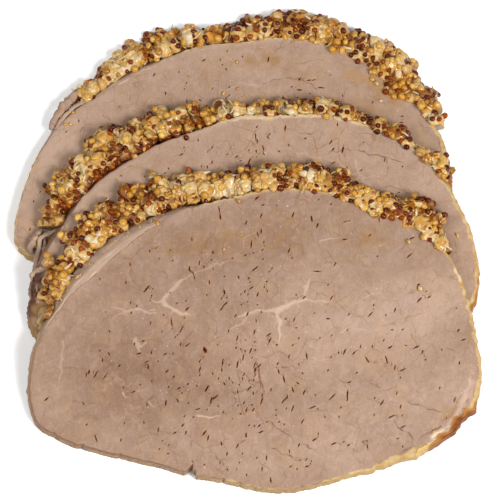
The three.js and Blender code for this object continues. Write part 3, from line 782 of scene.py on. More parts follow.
# a strip: an ellipse carried along a smooth path, roughened, and closed by a point at each end
def makeStrips(name, level):
    around, count = torn["around"], torn["steps"]
    parts = {label: [] for label in ("points", "quads", "fans", "tone", "rim")}
    offset = 0
    a = np.arange(around) * 2 * np.pi / around
    t = np.linspace(0, 1, count)[:, None]
    for number, (path, widths, thick, light, rind) in enumerate(torn[name]):
        line = throughPoints(path, count) + np.array([*slices[level]["centre"], 0])
        width = throughPoints(np.array(widths)[:, None], count)
        ahead = unit(np.gradient(line, axis=0))
        side = unit(np.cross(ahead, [0, 0, 1]))
        above = np.cross(side, ahead)
        rough = (1 + 0.2 * waves(t * 12, a * 1.5 + 7 * number, 3, 700 + number)
                 + 0.1 * waves(t * 12, a * 2.5, 1.3, 720 + number))
        lean = 0.6 * waves(t[:, 0] * 20, 0, 12, 740 + number)[:, None]
        across, up = width * np.cos(a + lean) * rough, width * thick * np.sin(a + lean) * rough
        rings = line[:, None] + side[:, None] * across[..., None] + above[:, None] * up[..., None]
        points = np.concatenate([rings.reshape(-1, 3), line[:1], line[-1:]])
        ring = np.arange(around)
        fans = np.concatenate([ringFan(ring, len(points) - 2)[:, ::-1],
                               ringFan(ring + (count - 1) * around, len(points) - 1)[:, [2, 0, 1]]])
        streak = light + 0.5 * waves(t * 4 + number, a * 2.2, 3, 760 + number)
        tone = np.zeros((len(points), 3))
        tone[:-2, 1] = streak.ravel()
        tone[:, 0] = 0.7 * rind
        edge = (-0.75, rind, 0.0) if rind > 0.25 else (6.0, 0.0, 0.0)
        for label, part in (("points", points), ("quads", gridQuads(count, around, closed=True)[:, ::-1] + offset),
                            ("fans", fans + offset), ("tone", tone), ("rim", np.tile(edge, (len(points), 1)))):
            parts[label].append(part)
        offset += len(points)
    points, quads, fans, tone, rim = [np.concatenate(part) for part in parts.values()]
    fields = {label: np.tile(farLine, (offset, 1)) for label in ("lines", "veinWay", "crackWay")}
    fields |= {label: np.zeros((offset, 3)) for label in ("paint", "pore")}
    return makePiece(f"torn_meat_{name}", points, quads, fans, fields | {
        "rim": rim, "tone": tone, "band": points * [0.3, 0.3, 2.0], "painted": np.zeros(offset)})


tornPieces = [settle(makeStrips("back", 0)), settle(makeStrips("middle", 1))]


# ---- mustard coat

coat = {
    "columns": 780,          # along the rim
    "rows": 88,              # over the dome
    "crown": 0.45,           # of the paste over the meat's edge
    "slopeCrown": 1.7,       # and what it has more where it starts at the foot of the rim
    "seat": 0.25,            # how far it reaches down into the cut face
    "seedRoom": 1.25,        # left between the paste and the coat's outer limit for the seeds
    "endWidth": 1.2,         # least reach past the foot of the rim, the seeds' room included
    "domePower": 2.6,        # of its section: 2 is an ellipse, more is squarer
    "uneven": 0.95,          # how far its inner and outer edges wander
    "leastReach": 0.25,      # past the foot of the rim, however the outer edge wanders
    "swell": (0.45, 7),      # height and length of the broad swells over the dome
    "grain": ((0.1, 1.7), (0.035, 0.8)),   # and of its two rows of fine waves
    "endFade": 1.2,          # degrees in which it flattens at both ends
    "knobs": 540,            # lumps in the paste of each slice
    "knobSize": (0.6, 2.35),   # smallest and largest radius
    "knobHeight": 0.62,      # in their own radius
    "knobRound": 0.62,       # 0.5 is a ball, more is pointed
    "knobSpread": 1.8,       # more makes small ones commoner
    "creamSwell": 0.4,       # creamy knobs are larger, and dark ones smaller
    "darkShrink": 0.25,
    "knobPower": 4,          # how sharply they stay apart
    "knobStretch": 2.3,      # the longest are this many times as long as they are wide
    "floor": 0.32,           # height between the knobs
    "golden": {"back": 0.3, "middle": 0.05, "front": 0.1},   # how much more the whole coat is golden
    # where smooth cream shows along the inner edge: the bearing in its middle and its half width
    "paleStrips": {"back": (141, 9), "middle": (93, 7), "front": (98, 11)},
    "ceiling": 2.6,          # nothing stands higher than this over the cut face
    "tries": 3400,           # seeds thrown at each coat
    "seedGap": 0.88,         # how near two may come, in the sum of their radii
    "seedChance": (0.65, 0.35, 0.5),   # anywhere, more in dark and gold, less in cream
    "seedsLeftOut": 0.7,     # share of them where the smooth cream shows
    "pressed": 0.35,         # how deep the paste is under a seed, and how far drawn up beside it, in radii
    "drawnUp": 0.1,
    "bareFrom": 167,         # the front coat's last degrees are thin and jelly-like
    "bareOver": 3.5,         # degrees in which it thins out
    "lastSeed": 169,         # no seed is thrown past this bearing
}

# where seeds of a kind gather, as (bearing, share of the way out from the inner edge)
gatherings = {
    "back": {
        "dark": [
            (144, 0.8), (130, 0.9), (125, 0.4), (123, 0.8), (120, 0.9), (113, 0.3), (103, 0.4), (89, 0.8),
            (84, 0.9), (78, 0.9), (75, 0.4), (72, 0.8), (65, 0.4), (51, 0.9), (47, 0.7), (45, 0.4), (42, 0.2),
            (30, 1), (29, 0.2), (26, 1), (22, 0.7), (15, 0.6)],
        "gold": [
            (128, 0.5), (121, 1), (118, 0.5), (107, 0.8), (98, 0.4), (112, 0.9), (83, 0.9), (66, 0.6), (61, 0.8),
            (52, 0.5), (51, 0.2), (40, 0.9), (33, 0.3), (28, 0.6), (26, 0.2), (20, 0.6)],
        "cream": [
            (150, 0.6), (146, 0.6), (138, 0.5), (134, 0.8), (131, 0.5), (117, 0.2), (114, 0.6), (104, 0.6),
            (85, 0.2), (78, 0.3), (59, 0.6), (57, 1), (43, 0.8), (43, 0.5), (37, 0.9), (35, 0.7), (32, 0.7),
            (24, 0.6), (15, 0.9), (13, 0.5)],
    },
    "middle": {
        "dark": [
            (168, 0.8), (168, 0.2), (158, 0.6), (154, 0.8), (152, 0.1), (149, 0.2), (146, 0.3), (142, 0.4),
            (137, 0.9), (132, 0.1), (127, 0.9), (118, 0.2), (114, 1), (110, 0.8), (105, 0.3), (73, 0.9), (70, 1),
            (58, 0.4), (50, 0.3), (46, 0.3), (39, 0.9), (37, 0.3)],
        "gold": [
            (170, 0.6), (165, 0.3), (158, 0.5), (152, 0.6), (146, 0.5), (138, 1), (128, 0.1), (123, 0.2),
            (115, 0.2), (109, 0.1), (106, 0.7), (86, 0.5), (66, 1), (62, 0.8), (47, 0.9), (41, 0.2)],
        "cream": [
            (166, 1), (161, 0.5), (158, 0.9), (158, 0.1), (155, 0.6), (150, 0.5), (139, 0.5), (137, 0.3),
            (131, 0.7), (126, 0.6), (122, 0.9), (118, 0.7), (111, 1), (142, 0.9), (100, 0.5), (97, 0.7), (95, 0.3),
            (91, 0.3), (89, 0.6), (86, 0.2), (81, 0.6), (76, 0.3), (64, 0.5), (33, 0.3)],
    },
    "front": {
        "dark": [
            (158, 0.5), (151, 0.4), (150, 0.7), (141, 0.3), (138, 0.8), (136, 0.2), (130, 0.3), (127, 0.2),
            (119, 0.1), (103, 0.1), (100, 0.9), (92, 0.2), (79, 0.2), (76, 0.3), (71, 0.8), (66, 1), (63, 0.1),
            (61, 0.7), (57, 0.4), (48, 0.3), (42, 0.3), (39, 0.8), (37, 0.9), (34, 0.9), (30, 0.3), (28, 0.4)],
        "gold": [
            (163, 0.5), (158, 1), (153, 0.2), (147, 0.6), (145, 0.3), (138, 0.4), (137, 0.7), (134, 0.6),
            (130, 0.8), (107, 0.7), (105, 1), (98, 0.8), (76, 0.7), (64, 0.7), (61, 1), (59, 0.2), (54, 0.6),
            (49, 0.6), (39, 0.6), (36, 0.6), (31, 0.7)],
        "cream": [
            (155, 0.6), (149, 0.2), (146, 1), (133, 0.1), (130, 0.1), (120, 0.8), (119, 0.4), (115, 0.6),
            (114, 0.3), (110, 0.6), (106, 0.4), (101, 0.5), (97, 0.6), (88, 0.7), (86, 0.2), (71, 0.6), (68, 0.8),
            (68, 0.4), (51, 0.4), (45, 0.5), (32, 0.2), (26, 0.5)],
    },
}


# 1 along the inner edge where the smooth cream shows, 0 elsewhere
def paleStrip(level, bearing, over):
    at, wide = coat["paleStrips"][slices[level]["name"]]
    return np.exp(-((bearing - at) / wide) ** 4) * (1 - smooth((over - 0.12) / 0.22))


# share of the way over the dome at which that share of its width is passed: part of an arc sine
def overAt(share, power):
    return 2 / np.pi * np.arcsin(share ** power)


# the bare coat: over goes from 0 at its inner edge, across the dome, to 1 at the table
def coatPoint(level, bearing, over):
    cut = slices[level]
    face, foot = cutRadius(cut, bearing), rimRadius(cut, bearing)
    uneven = coat["uneven"] * (1 - 0.65 * paleStrip(level, bearing, 0))
    inner = face + alongKnots(cut["start"], bearing)
    inner = inner + uneven * manyWaves(bearing, 0, (0.5, 5, level + 30), (0.22, 2.2, level + 31))
    outer = np.maximum(face + alongKnots(cut["reach"], bearing), foot + coat["endWidth"]) - coat["seedRoom"]
    ragged = manyWaves(bearing, 0, (0.8, 6, level + 33), (0.58, 2.6, level + 36)) - 0.05
    outer = np.maximum(outer + uneven * ragged, foot + coat["leastReach"])
    slope = np.clip((inner - face) / (foot - face), 0, 1)
    seat = roast["thickness"] * (1 - slope) - coat["seat"]
    across = np.sin(over * np.pi / 2) ** (2 / coat["domePower"])
    rise = 1 - (1 - np.clip(across / 0.25, 0, 1)) ** 2
    full = 1 - smooth((bearing - coat["bareFrom"]) / coat["bareOver"]) * (cut["name"] == "front")
    crown = coat["crown"] + coat["seat"] + coat["slopeCrown"] * slope
    height = (seat + crown * rise * full) * np.cos(over * np.pi / 2)
    x, y = fromCentre(cut, inner + (outer - inner) * across, bearing)
    return together(x, y, underside(level, x, y) + height)


# unit normal of the coat, from steps along and across it
def coatNormal(level, bearing, over):
    along = coatPoint(level, bearing + 0.4, over) - coatPoint(level, bearing - 0.4, over)
    across = (coatPoint(level, bearing, np.clip(over + 0.02, 0, 1))
              - coatPoint(level, bearing, np.clip(over - 0.02, 0, 1)))
    return unit(np.cross(across, along))


# highest that a thing over a place may stand, in plan millimetres
def topLimit(level, points):
    over = underside(level, points[..., 0], points[..., 1]) + roast["thickness"] + coat["ceiling"]
    return np.minimum(over, boxHigh[2] - 0.05)


# how strongly a place belongs to each gathering: dark, gold and cream, each 0 to 1
def gathered(level, places, reach=2.3):
    sets = gatherings[slices[level]["name"]]
    fields = []
    for kind in ("dark", "gold", "cream"):
        bearing, share = np.array(sets[kind], float).T
        spots = coatPoint(level, bearing, overAt(share, coat["domePower"] / 2))
        away = np.linalg.norm(places[..., None, :] - spots, axis=-1)
        fields.append(np.exp(-(away / reach) ** 2).max(-1))
    return together(*fields)


# the paste of one coat before the seeds: how far knobs, each a part of a stretched ball, push the bare
# coat out, and whose colours show; the knobs run together as the fourth root of the sum of their fourth
# powers, and creases are where the highest knob is well below that sum
def kneadPaste(level):
    cut = slices[level]
    draw = np.random.default_rng(600 + level)
    count, power = coat["knobs"], coat["knobPower"]
    first, last = cut["reach"][0][0], cut["reach"][-1][0]
    bearing, over = np.meshgrid(np.linspace(first, last, coat["columns"]), np.linspace(0, 1, coat["rows"]),
                                indexing="ij")
    bare, normal = coatPoint(level, bearing, over), coatNormal(level, bearing, over)
    knobBearing, share = draw.uniform(first, last, count), draw.uniform(0.0, 1.0, count)
    knobOver = np.where(draw.uniform(0, 1, count) < 0.6, overAt(share, 1.3), share)
    knobs = coatPoint(level, knobBearing, knobOver)
    low, high = coat["knobSize"]
    sizes = low + (high - low) * draw.uniform(0, 1, count) ** coat["knobSpread"]
    groups = gathered(level, knobs, 3.0) + draw.uniform(-0.25, 0.25, (count, 3))
    groups[:, 1] += coat["golden"][cut["name"]]
    darkShare, creamShare = np.clip(groups[:, 0], 0, 1), np.clip(groups[:, 2], 0, 1)
    sizes = sizes * (1 + coat["creamSwell"] * creamShare - coat["darkShrink"] * darkShare)
    x, y = bare[..., 0], bare[..., 1]
    upright = y + 1.3 * bare[..., 2]
    bent = bare + together(*[manyWaves(x, upright, (0.3, 2.4, level + 40 + 3 * k), (0.08, 1.1, level + 50 + 3 * k))
                             for k in range(3)])
    total, top = np.full(x.shape, coat["floor"] ** power), np.zeros(x.shape)
    blended = np.zeros(x.shape + (4,))
    colours = np.column_stack([groups, draw.uniform(0, 1, count)])
    longWays = unit(draw.normal(size=(count, 3)))
    stretches = draw.uniform(1, coat["knobStretch"], count)
    for knob, size, longWay, stretch, own in zip(knobs, sizes, longWays, stretches, colours):
        short = size / np.sqrt(stretch)
        near = abs(bent[..., 0] - knob[0]) < short * stretch
        gone = bent[near] - knob
        away = ((gone**2).sum(-1) - (1 - stretch**-2) * (gone @ longWay) ** 2) / short**2
        near[near] = away < 1
        rise = coat["knobHeight"] * size * (1 - away[away < 1]) ** coat["knobRound"]
        top[near] = np.maximum(top[near], rise)
        total[near] += rise ** power
        blended[near] += (rise ** power)[:, None] * own
    push = total ** (1 / power)
    # creases between the knobs, which the paste's colour darkens as painted shade
    seam = (0.55 + 0.3 * waves(x, upright, 3.4, level + 66)) * smooth((0.97 - top / push) / 0.14)
    crease = np.maximum(1 - np.clip(push / 0.55, 0, 1), np.clip(seam, 0, 1))
    strip = paleStrip(level, bearing, over)
    push, crease = push * (1 - 0.75 * strip) + 0.6 * strip, crease * (1 - strip)
    swell, length = coat["swell"]
    push = push + swell * waves(x, y, length, level + 62) * np.sin(np.pi * over)
    return {"bearing": bearing, "over": over, "bare": bare, "normal": normal, "push": push, "crease": crease,
            "colour": blended[..., :3] / total[..., None], "tint": blended[..., 3] / total, "strip": strip}


kneaded = [kneadPaste(level) for level in range(len(slices))]
print("paste kneaded")


# the kneaded paste's outer surface at any bearing and share of the way over, between its grid's points
def onPaste(level, bearing, over):
    push = kneaded[level]["push"]
    columns, rows = push.shape
    first, last = kneaded[level]["bearing"][[0, -1], 0]
    u = np.clip((bearing - first) / (last - first), 0, 1) * (columns - 1)
    v = np.clip(over, 0, 1) * (rows - 1)
    i, j = np.minimum(u.astype(int), columns - 2), np.minimum(v.astype(int), rows - 2)
    f, g = u - i, v - j
    low, high = [push[i, k] * (1 - f) + push[i + 1, k] * f for k in (j, j + 1)]
    normal = coatNormal(level, bearing, over)
    return coatPoint(level, bearing, over) + normal * (low * (1 - g) + high * g)[:, None], normal


# ---- seeds, hulls and crumbs

# share is how common, draws is how much it keeps to the dark, gold and cream gatherings, and sunk is how
# far its middle lies from the paste, from least to most, in its own radius
seeds = {
    "yellow_seeds": {"size": (0.85, 1.25), "shape": (1, 1, 0.92), "rough": 0.045, "share": 0.11,
                     "draws": (-1.6, 1.1, 0.7), "sunk": (-0.5, 0.4)},
    "golden_seeds": {"size": (0.8, 1.3), "shape": (1.1, 1, 0.86), "rough": 0.09, "share": 0.14,
                     "draws": (-1, 2.2, -0.6), "sunk": (-0.5, 0.25)},
    "brown_seeds": {"size": (0.7, 1), "shape": (1, 1, 0.94), "rough": 0.045, "share": 0.1,
                    "draws": (3, 0.4, -2.2), "sunk": (-0.5, 0.35)},
    "dark_seeds": {"size": (0.7, 1), "shape": (1, 1, 0.95), "rough": 0.045, "share": 0.12,
                   "draws": (4.4, -1.6, -2.8), "sunk": (-0.5, 0.4)},
    "mustard_curds": {"size": (0.8, 1.7), "shape": (1.15, 0.95, 0.8), "rough": 0.17, "share": 0.07,
                      "draws": (-2.4, -0.3, 1.8), "sunk": (-0.6, -0.1)},
    "seed_hulls": {"size": (0.7, 1.15), "shape": (1.1, 0.85, 0.3), "rough": 0.1, "share": 0.05,
                   "draws": (0.2, 1.2, 0.2), "sunk": (-0.1, 0.3)},
    "pale_shreds": {"size": (0.5, 0.9), "shape": (2.5, 0.5, 0.32), "rough": 0.1, "share": 0.055,
                    "draws": (-0.8, 0.1, 1.4), "sunk": (-0.1, 0.4)},
}
ballKinds = {"long": (7, 9), "rough": (15, 11), "round": (10, 7)}   # points around, and rings


# what lies where on one coat: thrown at random, kept if it doesn't sink into what is there
def throwSeeds(level, seed):
    cut, tries = slices[level], coat["tries"]
    draw = np.random.default_rng(seed)
    first, last = cut["reach"][0][0], cut["reach"][-1][0]
    bearing = draw.uniform(first + 0.6, min(last - 0.6, coat["lastSeed"]), tries)
    top = overAt(draw.uniform(0.05, 1, tries), 1.3)
    over = np.where(draw.uniform(0, 1, tries) < 0.5, top, draw.uniform(0.03, 0.92, tries))
    place, normal = onPaste(level, bearing, over)
    groups = gathered(level, place)
    kinds = list(seeds.values())
    weight = together(*[k["share"] * np.exp(groups @ np.array(k["draws"])) for k in kinds])
    weight = weight / weight.sum(1, keepdims=True)
    kind = (draw.uniform(0, 1, (tries, 1)) > np.cumsum(weight, 1)).sum(1).clip(0, len(kinds) - 1)
    width = np.linalg.norm((coatPoint(level, bearing, 1.0) - coatPoint(level, bearing, 0.0))[:, :2], axis=1)
    dark, gold, cream = groups.T
    anywhere, more, less = coat["seedChance"]
    room = anywhere + more * np.clip(dark + gold, 0, 1) - less * np.clip(cream - dark, 0, 1)
    allowed = draw.uniform(0, 1, tries) < smooth(width / 3) * room
    allowed = allowed & (draw.uniform(0, 1, tries) > coat["seedsLeftOut"] * paleStrip(level, bearing, over))
    size = np.array([k["size"] for k in kinds])[kind]
    sunk = np.array([k["sunk"] for k in kinds])[kind]
    radius = size[:, 0] + (size[:, 1] - size[:, 0]) * draw.uniform(0, 1, tries)
    lift = radius * (sunk[:, 0] + (sunk[:, 1] - sunk[:, 0]) * draw.uniform(0, 1, tries))
    centre = place + normal * lift[:, None]
    centre[:, 2] = np.clip(centre[:, 2], radius * 1.12, topLimit(level, centre) - radius * 1.02)
    kept = []
    for i in np.flatnonzero(allowed):
        away = np.linalg.norm(centre[kept] - centre[i], axis=1)
        if not (away < coat["seedGap"] * (radius[kept] + radius[i])).any():
            kept.append(i)
    return centre[kept], normal[kept], radius[kept], kind[kept]


thrown = [throwSeeds(level, 400 + level) for level in range(len(slices))]
print("seeds thrown:", [len(t[0]) for t in thrown])


# the paste's mesh: kneaded, pressed in under each seed and drawn up a little at its sides, then closed
# down the rim of the meat and at both ends
def makePaste(level):
    cut, paste = slices[level], kneaded[level]
    bearing, over, bare, strip = paste["bearing"], paste["over"], paste["bare"], paste["strip"]
    first, last = bearing[0, 0], bearing[-1, 0]
    push = paste["push"].copy()
    outer = bare + paste["normal"] * push[..., None]
    for centre, radius in zip(thrown[level][0], thrown[level][2]):
        near = abs(outer[..., 0] - centre[0]) < 2 * radius
        away = np.sqrt(((outer[near] - centre) ** 2).sum(-1)) / radius
        beside, beneath = np.exp(-((away - 1.15) / 0.3) ** 2), np.exp(-(away / 0.8) ** 4)
        push[near] += radius * (coat["drawnUp"] * beside - coat["pressed"] * beneath)
    x, y, z = np.moveaxis(bare, -1, 0)
    (high, long), (low, short) = coat["grain"]
    fine = high * waves(x + z, y, long, level + 60) + low * waves(x - z, y, short, level + 61)
    ends = smooth((bearing - first) / coat["endFade"]) * smooth((last - bearing) / coat["endFade"])
    push = (push + fine + 0.1) * smooth(over / 0.025) * smooth((1 - over) / 0.06) * (0.3 + 0.7 * ends)
    isFront = cut["name"] == "front"
    push = push * (1 - 0.5 * smooth((bearing - coat["bareFrom"] - 1) / 3) * isFront)
    dome = bare + paste["normal"] * push[..., None]
    ceiling = topLimit(level, dome)
    dome[..., 2] = np.maximum(ceiling - 0.3 * np.logaddexp(0, (ceiling - dome[..., 2]) / 0.3), 0.02)
    x, y = fromCentre(cut, rimRadius(cut, bearing[:, :1]) + 0.1, bearing[:, :1])
    section = np.concatenate([dome, together(x, y, underside(level, x, y))], 1)
    columns, wide = section.shape[:2]
    count = columns * wide
    ring = np.arange(wide)
    caps = np.concatenate([ringFan(ring, count)[:, [1, 0, 2]], ringFan(ring + count - wide, count + 1)])

    # mix is how dark (painted shade in the creases, brown where dark seeds gather and along the lip), golden and
    # creamy each place is
    dark, gold, cream = np.moveaxis(paste["colour"], -1, 0)
    creamLip = {"back": 0.5, "middle": 1.3 - 1.9 * smooth((bearing - 108) / 16), "front": 1.0}[cut["name"]]
    brownLip = np.clip(-2 * creamLip, 0, 1)
    lip = np.exp(-(over / (0.05 + 0.012 * brownLip)) ** 2)
    jelly = smooth((bearing - coat["bareFrom"] - 0.5) / 3) * isFront
    gold = gold * (1 - strip) * (1 - jelly) + 0.5 * jelly
    cream = np.maximum(cream * (1 - lip) + lip * creamLip, 1.1 * strip) * (1 - jelly)
    dark = paste["crease"] * (1 - 0.7 * lip) + 0.55 * np.clip(dark - 0.45, 0, 1) + brownLip * lip
    mix = np.concatenate([together(dark, gold, cream), np.zeros((columns, 1, 3))], 1)
    tint = paste["tint"] + (0.9 - paste["tint"]) * 0.8 * strip
    tint = np.append(tint, tint[:, :1], 1)
    points = np.concatenate([section.reshape(-1, 3), [section[0].mean(0), section[-1].mean(0)]])
    return makePiece(f"mustard_paste_{cut['name']}", points, gridQuads(columns, wide, closed=True), caps,
                     {"mix": np.concatenate([mix.reshape(-1, 3), np.zeros((2, 3))]),
                      "tint": np.append(tint.ravel(), [0, 0])})


pastePieces = [settle(makePaste(level), "seed_coat_" + cut["name"]) for level, cut in enumerate(slices)]


# a ball of few faces: rings of points from pole to pole
def ballGrid(around, rings):
    tilt = np.linspace(0, np.pi, rings + 1)[1:-1]
    turn = np.arange(around) * 2 * np.pi / around
    t, a = np.meshgrid(tilt, turn, indexing="ij")
    points = together(np.sin(t) * np.cos(a), np.sin(t) * np.sin(a), np.cos(t)).reshape(-1, 3)
    points = np.concatenate([points, [[0, 0, 1], [0, 0, -1]]])
    ring, top = np.arange(around), len(points) - 2
    fans = np.concatenate([ringFan(ring, top), ringFan(ring + (rings - 2) * around, top + 1)[:, [1, 0, 2]]])
    return points, gridQuads(rings - 1, around, closed=True)[:, ::-1], fans


# three axes each: the last near the normal, tipped at random, the others any way round
def tippedFrames(draw, normals, tip):
    third = unit(normals + tip * draw.normal(size=normals.shape))
    first = unit(np.cross(third, draw.normal(size=normals.shape)))
    return together(first, np.cross(third, first), third)


# many small bodies in one mesh: each ball is stretched, dented by its own waves, bent, turned and placed
def makeBodies(name, places, normals, radii, settings, seed):
    draw = np.random.default_rng(seed)
    count = len(places)
    long, flat = max(settings["shape"]) > 2, min(settings["shape"]) < 0.5
    base, quads, fans = ballGrid(*ballKinds["long" if long else "rough" if settings["rough"] > 0.12 else "round"])
    stretch = np.array(settings["shape"]) * draw.uniform(0.9, 1.1, (count, 3))
    axes = draw.normal(size=(count, 3, 3)) * 1.8
    fine = draw.normal(size=(count, 3, 3)) * 4
    phase = draw.uniform(0, 6.28, (count, 3, 1))
    slow, quick = [np.sin(np.einsum("nkj,pj->nkp", way, base) + phase).sum(1) for way in (axes, fine)]
    dent = settings["rough"] * (slow + 0.5 * quick)
    shape = base * (1 + dent[..., None]) * stretch[:, None] * radii[:, None, None]
    bend = draw.normal(0, 0.12, count) if long else np.zeros(count)
    shape[..., 2] += bend[:, None] * shape[..., 0] ** 2
    tip = 0.35 if long else 0.45 if flat else 3.0
    shape = np.einsum("nij,npj->npi", tippedFrames(draw, normals, tip), shape) + places[:, None]
    step = np.arange(count)[:, None, None] * len(base)
    return makePiece(name, shape.reshape(-1, 3), (quads + step).reshape(-1, 4), (fans + step).reshape(-1, 3),
                     {"tint": np.repeat(draw.uniform(0, 1, count), len(base)),
                      "pole": np.tile((base[:, 2] + 1) / 2, count)})


# strays lying on the cut faces: the slice, the place from its centre, size and kind
strays = [
    (1, -19.5, 33.6, 0.85, "dark_seeds"), (1, 21.1, 40.2, 1.05, "yellow_seeds"),
    (1, 23.6, 39.8, 0.6, "mustard_curds"), (1, -29.8, 22.5, 0.55, "mustard_curds"),
    (1, -39.2, 20.7, 0.4, "seed_hulls"), (1, -35.3, 24.7, 0.4, "seed_hulls"), (1, 58, 3.8, 0.55, "mustard_curds"),
    (2, -4.1, 37.6, 0.8, "mustard_curds"), (2, 43.7, 25.6, 0.7, "mustard_curds"),
    (2, 46.5, 12.2, 0.75, "mustard_curds"), (2, -26.9, 31.2, 0.7, "seed_hulls"),
    (2, -26.6, 24.1, 0.35, "seed_hulls"), (2, -8.3, 23.5, 0.4, "mustard_curds"),
    (0, -47, 17.6, 0.55, "yellow_seeds"), (0, -49.2, 13.8, 0.5, "yellow_seeds"),
    (0, -47.6, 13.9, 0.5, "yellow_seeds"), (0, 1.1, 33.8, 0.45, "mustard_curds"),
    (0, -13, 29, 0.35, "mustard_curds"), (0, 1.5, 25.2, 0.5, "mustard_curds"),
    (0, -2.7, 23.6, 0.55, "mustard_curds"), (0, 41.1, 28.2, 0.7, "seed_hulls"),
    (0, 42.5, 26.8, 0.75, "mustard_curds"), (0, 45.4, 25.4, 0.8, "mustard_curds"),
    (0, 46.6, 22.8, 0.6, "seed_hulls"), (0, 37.1, 19.1, 0.4, "seed_hulls"), (0, 43.6, 21.4, 0.45, "mustard_curds"),
]


crumbs = {
    "count": 70, "seed": 91,
    "between": (122, 172),                # bearings on the front slice
    "size": (0.16, 0.36),                 # the smallest, and what the largest has more
    "kinds": {"mustard_curds": 0.4, "pale_shreds": 0.45, "seed_hulls": 0.15},
}


# crumbs along the turned-over skin of the front slice: level, place, size and kind like the strays
def skinCrumbs():
    count, (small, more) = crumbs["count"], crumbs["size"]
    draw = np.random.default_rng(crumbs["seed"])
    cut = slices[2]
    bearing = draw.uniform(*crumbs["between"], count)
    past = alongKnots(cut["start"], bearing) * draw.uniform(0.0, 1.0, count) ** 0.7
    pulled = draw.uniform(0, 0.9, count)
    past = past - aroundKnots(rims["hem"]["front"], bearing) * pulled * (draw.uniform(0, 1, count) < 0.4)
    x, y = polar(cutRadius(cut, bearing) + past, bearing)
    size = small + more * draw.uniform(0, 1, count) ** 3
    kinds = draw.choice(list(crumbs["kinds"]), count, p=list(crumbs["kinds"].values()))
    size = np.where(kinds == "pale_shreds", 0.7 * size, size)
    return [(2, *row, kind) for row, kind in zip(together(x, y, size).tolist(), kinds.tolist())]


# places of the strays: on the face or the slope, half sunk
def strayPlaces(strays):
    parts = []
    for level, dx, dy, radius, kind in strays:
        cut = slices[level]
        x, y = cut["centre"][0] + dx, cut["centre"][1] + dy
        bearing, away = seenFrom(cut, x, y)
        face, foot = cutRadius(cut, bearing), rimRadius(cut, bearing)
        up = roast["thickness"] * np.clip((foot - away) / (foot - face), 0, 1)
        parts.append(((x, y, float(underside(level, x, y)) + up + 0.35 * radius), (0, 0, 1), radius,
                      list(seeds).index(kind)))
    return [np.array(part) for part in zip(*parts)]


centres, normals, radii, kindOf = [np.concatenate(parts)
                                   for parts in zip(*thrown, strayPlaces(strays + skinCrumbs()))]
centres = np.clip(centres, boxLow + 1.15 * radii[:, None], boxHigh - 1.15 * radii[:, None])
seedPieces = {}
for number, kind in enumerate(seeds):
    own = kindOf == number
    piece = makeBodies(kind, centres[own], normals[own], radii[own], seeds[kind], 500 + number)
    seedPieces[kind] = settle(piece)
    print("  of them", int(own.sum()))


# ---- materials

# a value in a shader and the tree it is in: each sum, difference or product of two is a node
class Shade:
    # the tree and the socket are kept as they come
    def __init__(self, tree, socket):
        self.tree, self.socket = tree, socket

    # this value plus another value or number
    def __add__(self, more):
        return addNode(self.tree, "Math", {0: self, 1: more}, operation="ADD")

    # this value less another
    def __sub__(self, less):
        return addNode(self.tree, "Math", {0: self, 1: less}, operation="SUBTRACT")

    # a number less this value
    def __rsub__(self, number):
        return addNode(self.tree, "Math", {0: number, 1: self}, operation="SUBTRACT")

    # this value times another
    def __mul__(self, by):
        return addNode(self.tree, "Math", {0: self, 1: by}, operation="MULTIPLY")

    # another output of the node that this value comes from
    def other(self, output):
        return Shade(self.tree, self.socket.node.outputs[output])


# one node with its inputs joined or set, and one of its outputs
def addNode(tree, kind, inputs, output=0, **settings):
    made = tree.nodes.new("ShaderNode" + kind)
    for key, value in settings.items():
        setattr(made, key, value)
    for key, value in inputs.items():
        if isinstance(value, Shade):
            tree.links.new(value.socket, made.inputs[key])
        else:
            made.inputs[key].default_value = value
    return Shade(tree, made.outputs[output])


# a principled shader, moist: the coat is the wet film and depth is how far light goes in
def newMaterial(name, roughness, specular=0.5, coatWeight=0.0, coatRoughness=0.2, glow=0.0, depth=(1.0, 0.5, 0.25)):
    material = bpy.data.materials.new(name)
    material.use_nodes = True
    shader = material.node_tree.nodes["Principled BSDF"]
    for key, value in {"Roughness": roughness, "Specular IOR Level": specular, "Coat Weight": coatWeight,
                       "Coat Roughness": coatRoughness, "Subsurface Weight": glow, "Subsurface Radius": depth,
                       "Subsurface Scale": mm}.items():
        shader.inputs[key].default_value = value
    return material, shader


# the shader's colour, and a bump from a height, the distance in millimetres
def finishLook(shader, colour, height, strength=1.0, distance=1.0):
    colour.tree.links.new(colour.socket, shader.inputs["Base Color"])
    bump = addNode(colour.tree, "Bump", {"Height": height, "Distance": distance * mm, "Strength": strength})
    colour.tree.links.new(bump.socket, shader.inputs["Normal"])


# a mesh's own values: each point's number, or its vector
def readField(tree, name, output="Fac"):
    return addNode(tree, "Attribute", {}, output, attribute_name=name)


# the three parts of a mesh's own vector
def splitField(tree, name):
    x = addNode(tree, "SeparateXYZ", {"Vector": readField(tree, name, "Vector")})
    return x, x.other(1), x.other(2)


# under and over mixed by an amount from 0 to 1, each a value or red, green and blue on a screen
def blend(amount, under, over):
    under, over = [c if isinstance(c, Shade) else ink(*c) for c in (under, over)]
    return addNode(amount.tree, "Mix", {"Factor": amount, 6: under, 7: over}, 2, data_type="RGBA", clamp_factor=True)


# colours laid over the first one after another, each as strongly as its amount
def layers(colour, *washes):
    for amount, shown in washes:
        colour = blend(amount, colour, shown)
    return colour


# from low to high becomes 0 to 1, smoothly
def steps(value, low, high):
    return addNode(value.tree, "MapRange", {"Value": value, "From Min": low, "From Max": high},
                   interpolation_type="SMOOTHSTEP")


# soft noise, its lumps about size millimetres long
def cloud(where, size, detail=2.0, rough=0.5, bend=0.0):
    return addNode(where.tree, "TexNoise", {"Vector": where, "Scale": 1 / (size * mm), "Detail": detail,
                                            "Roughness": rough, "Distortion": bend})


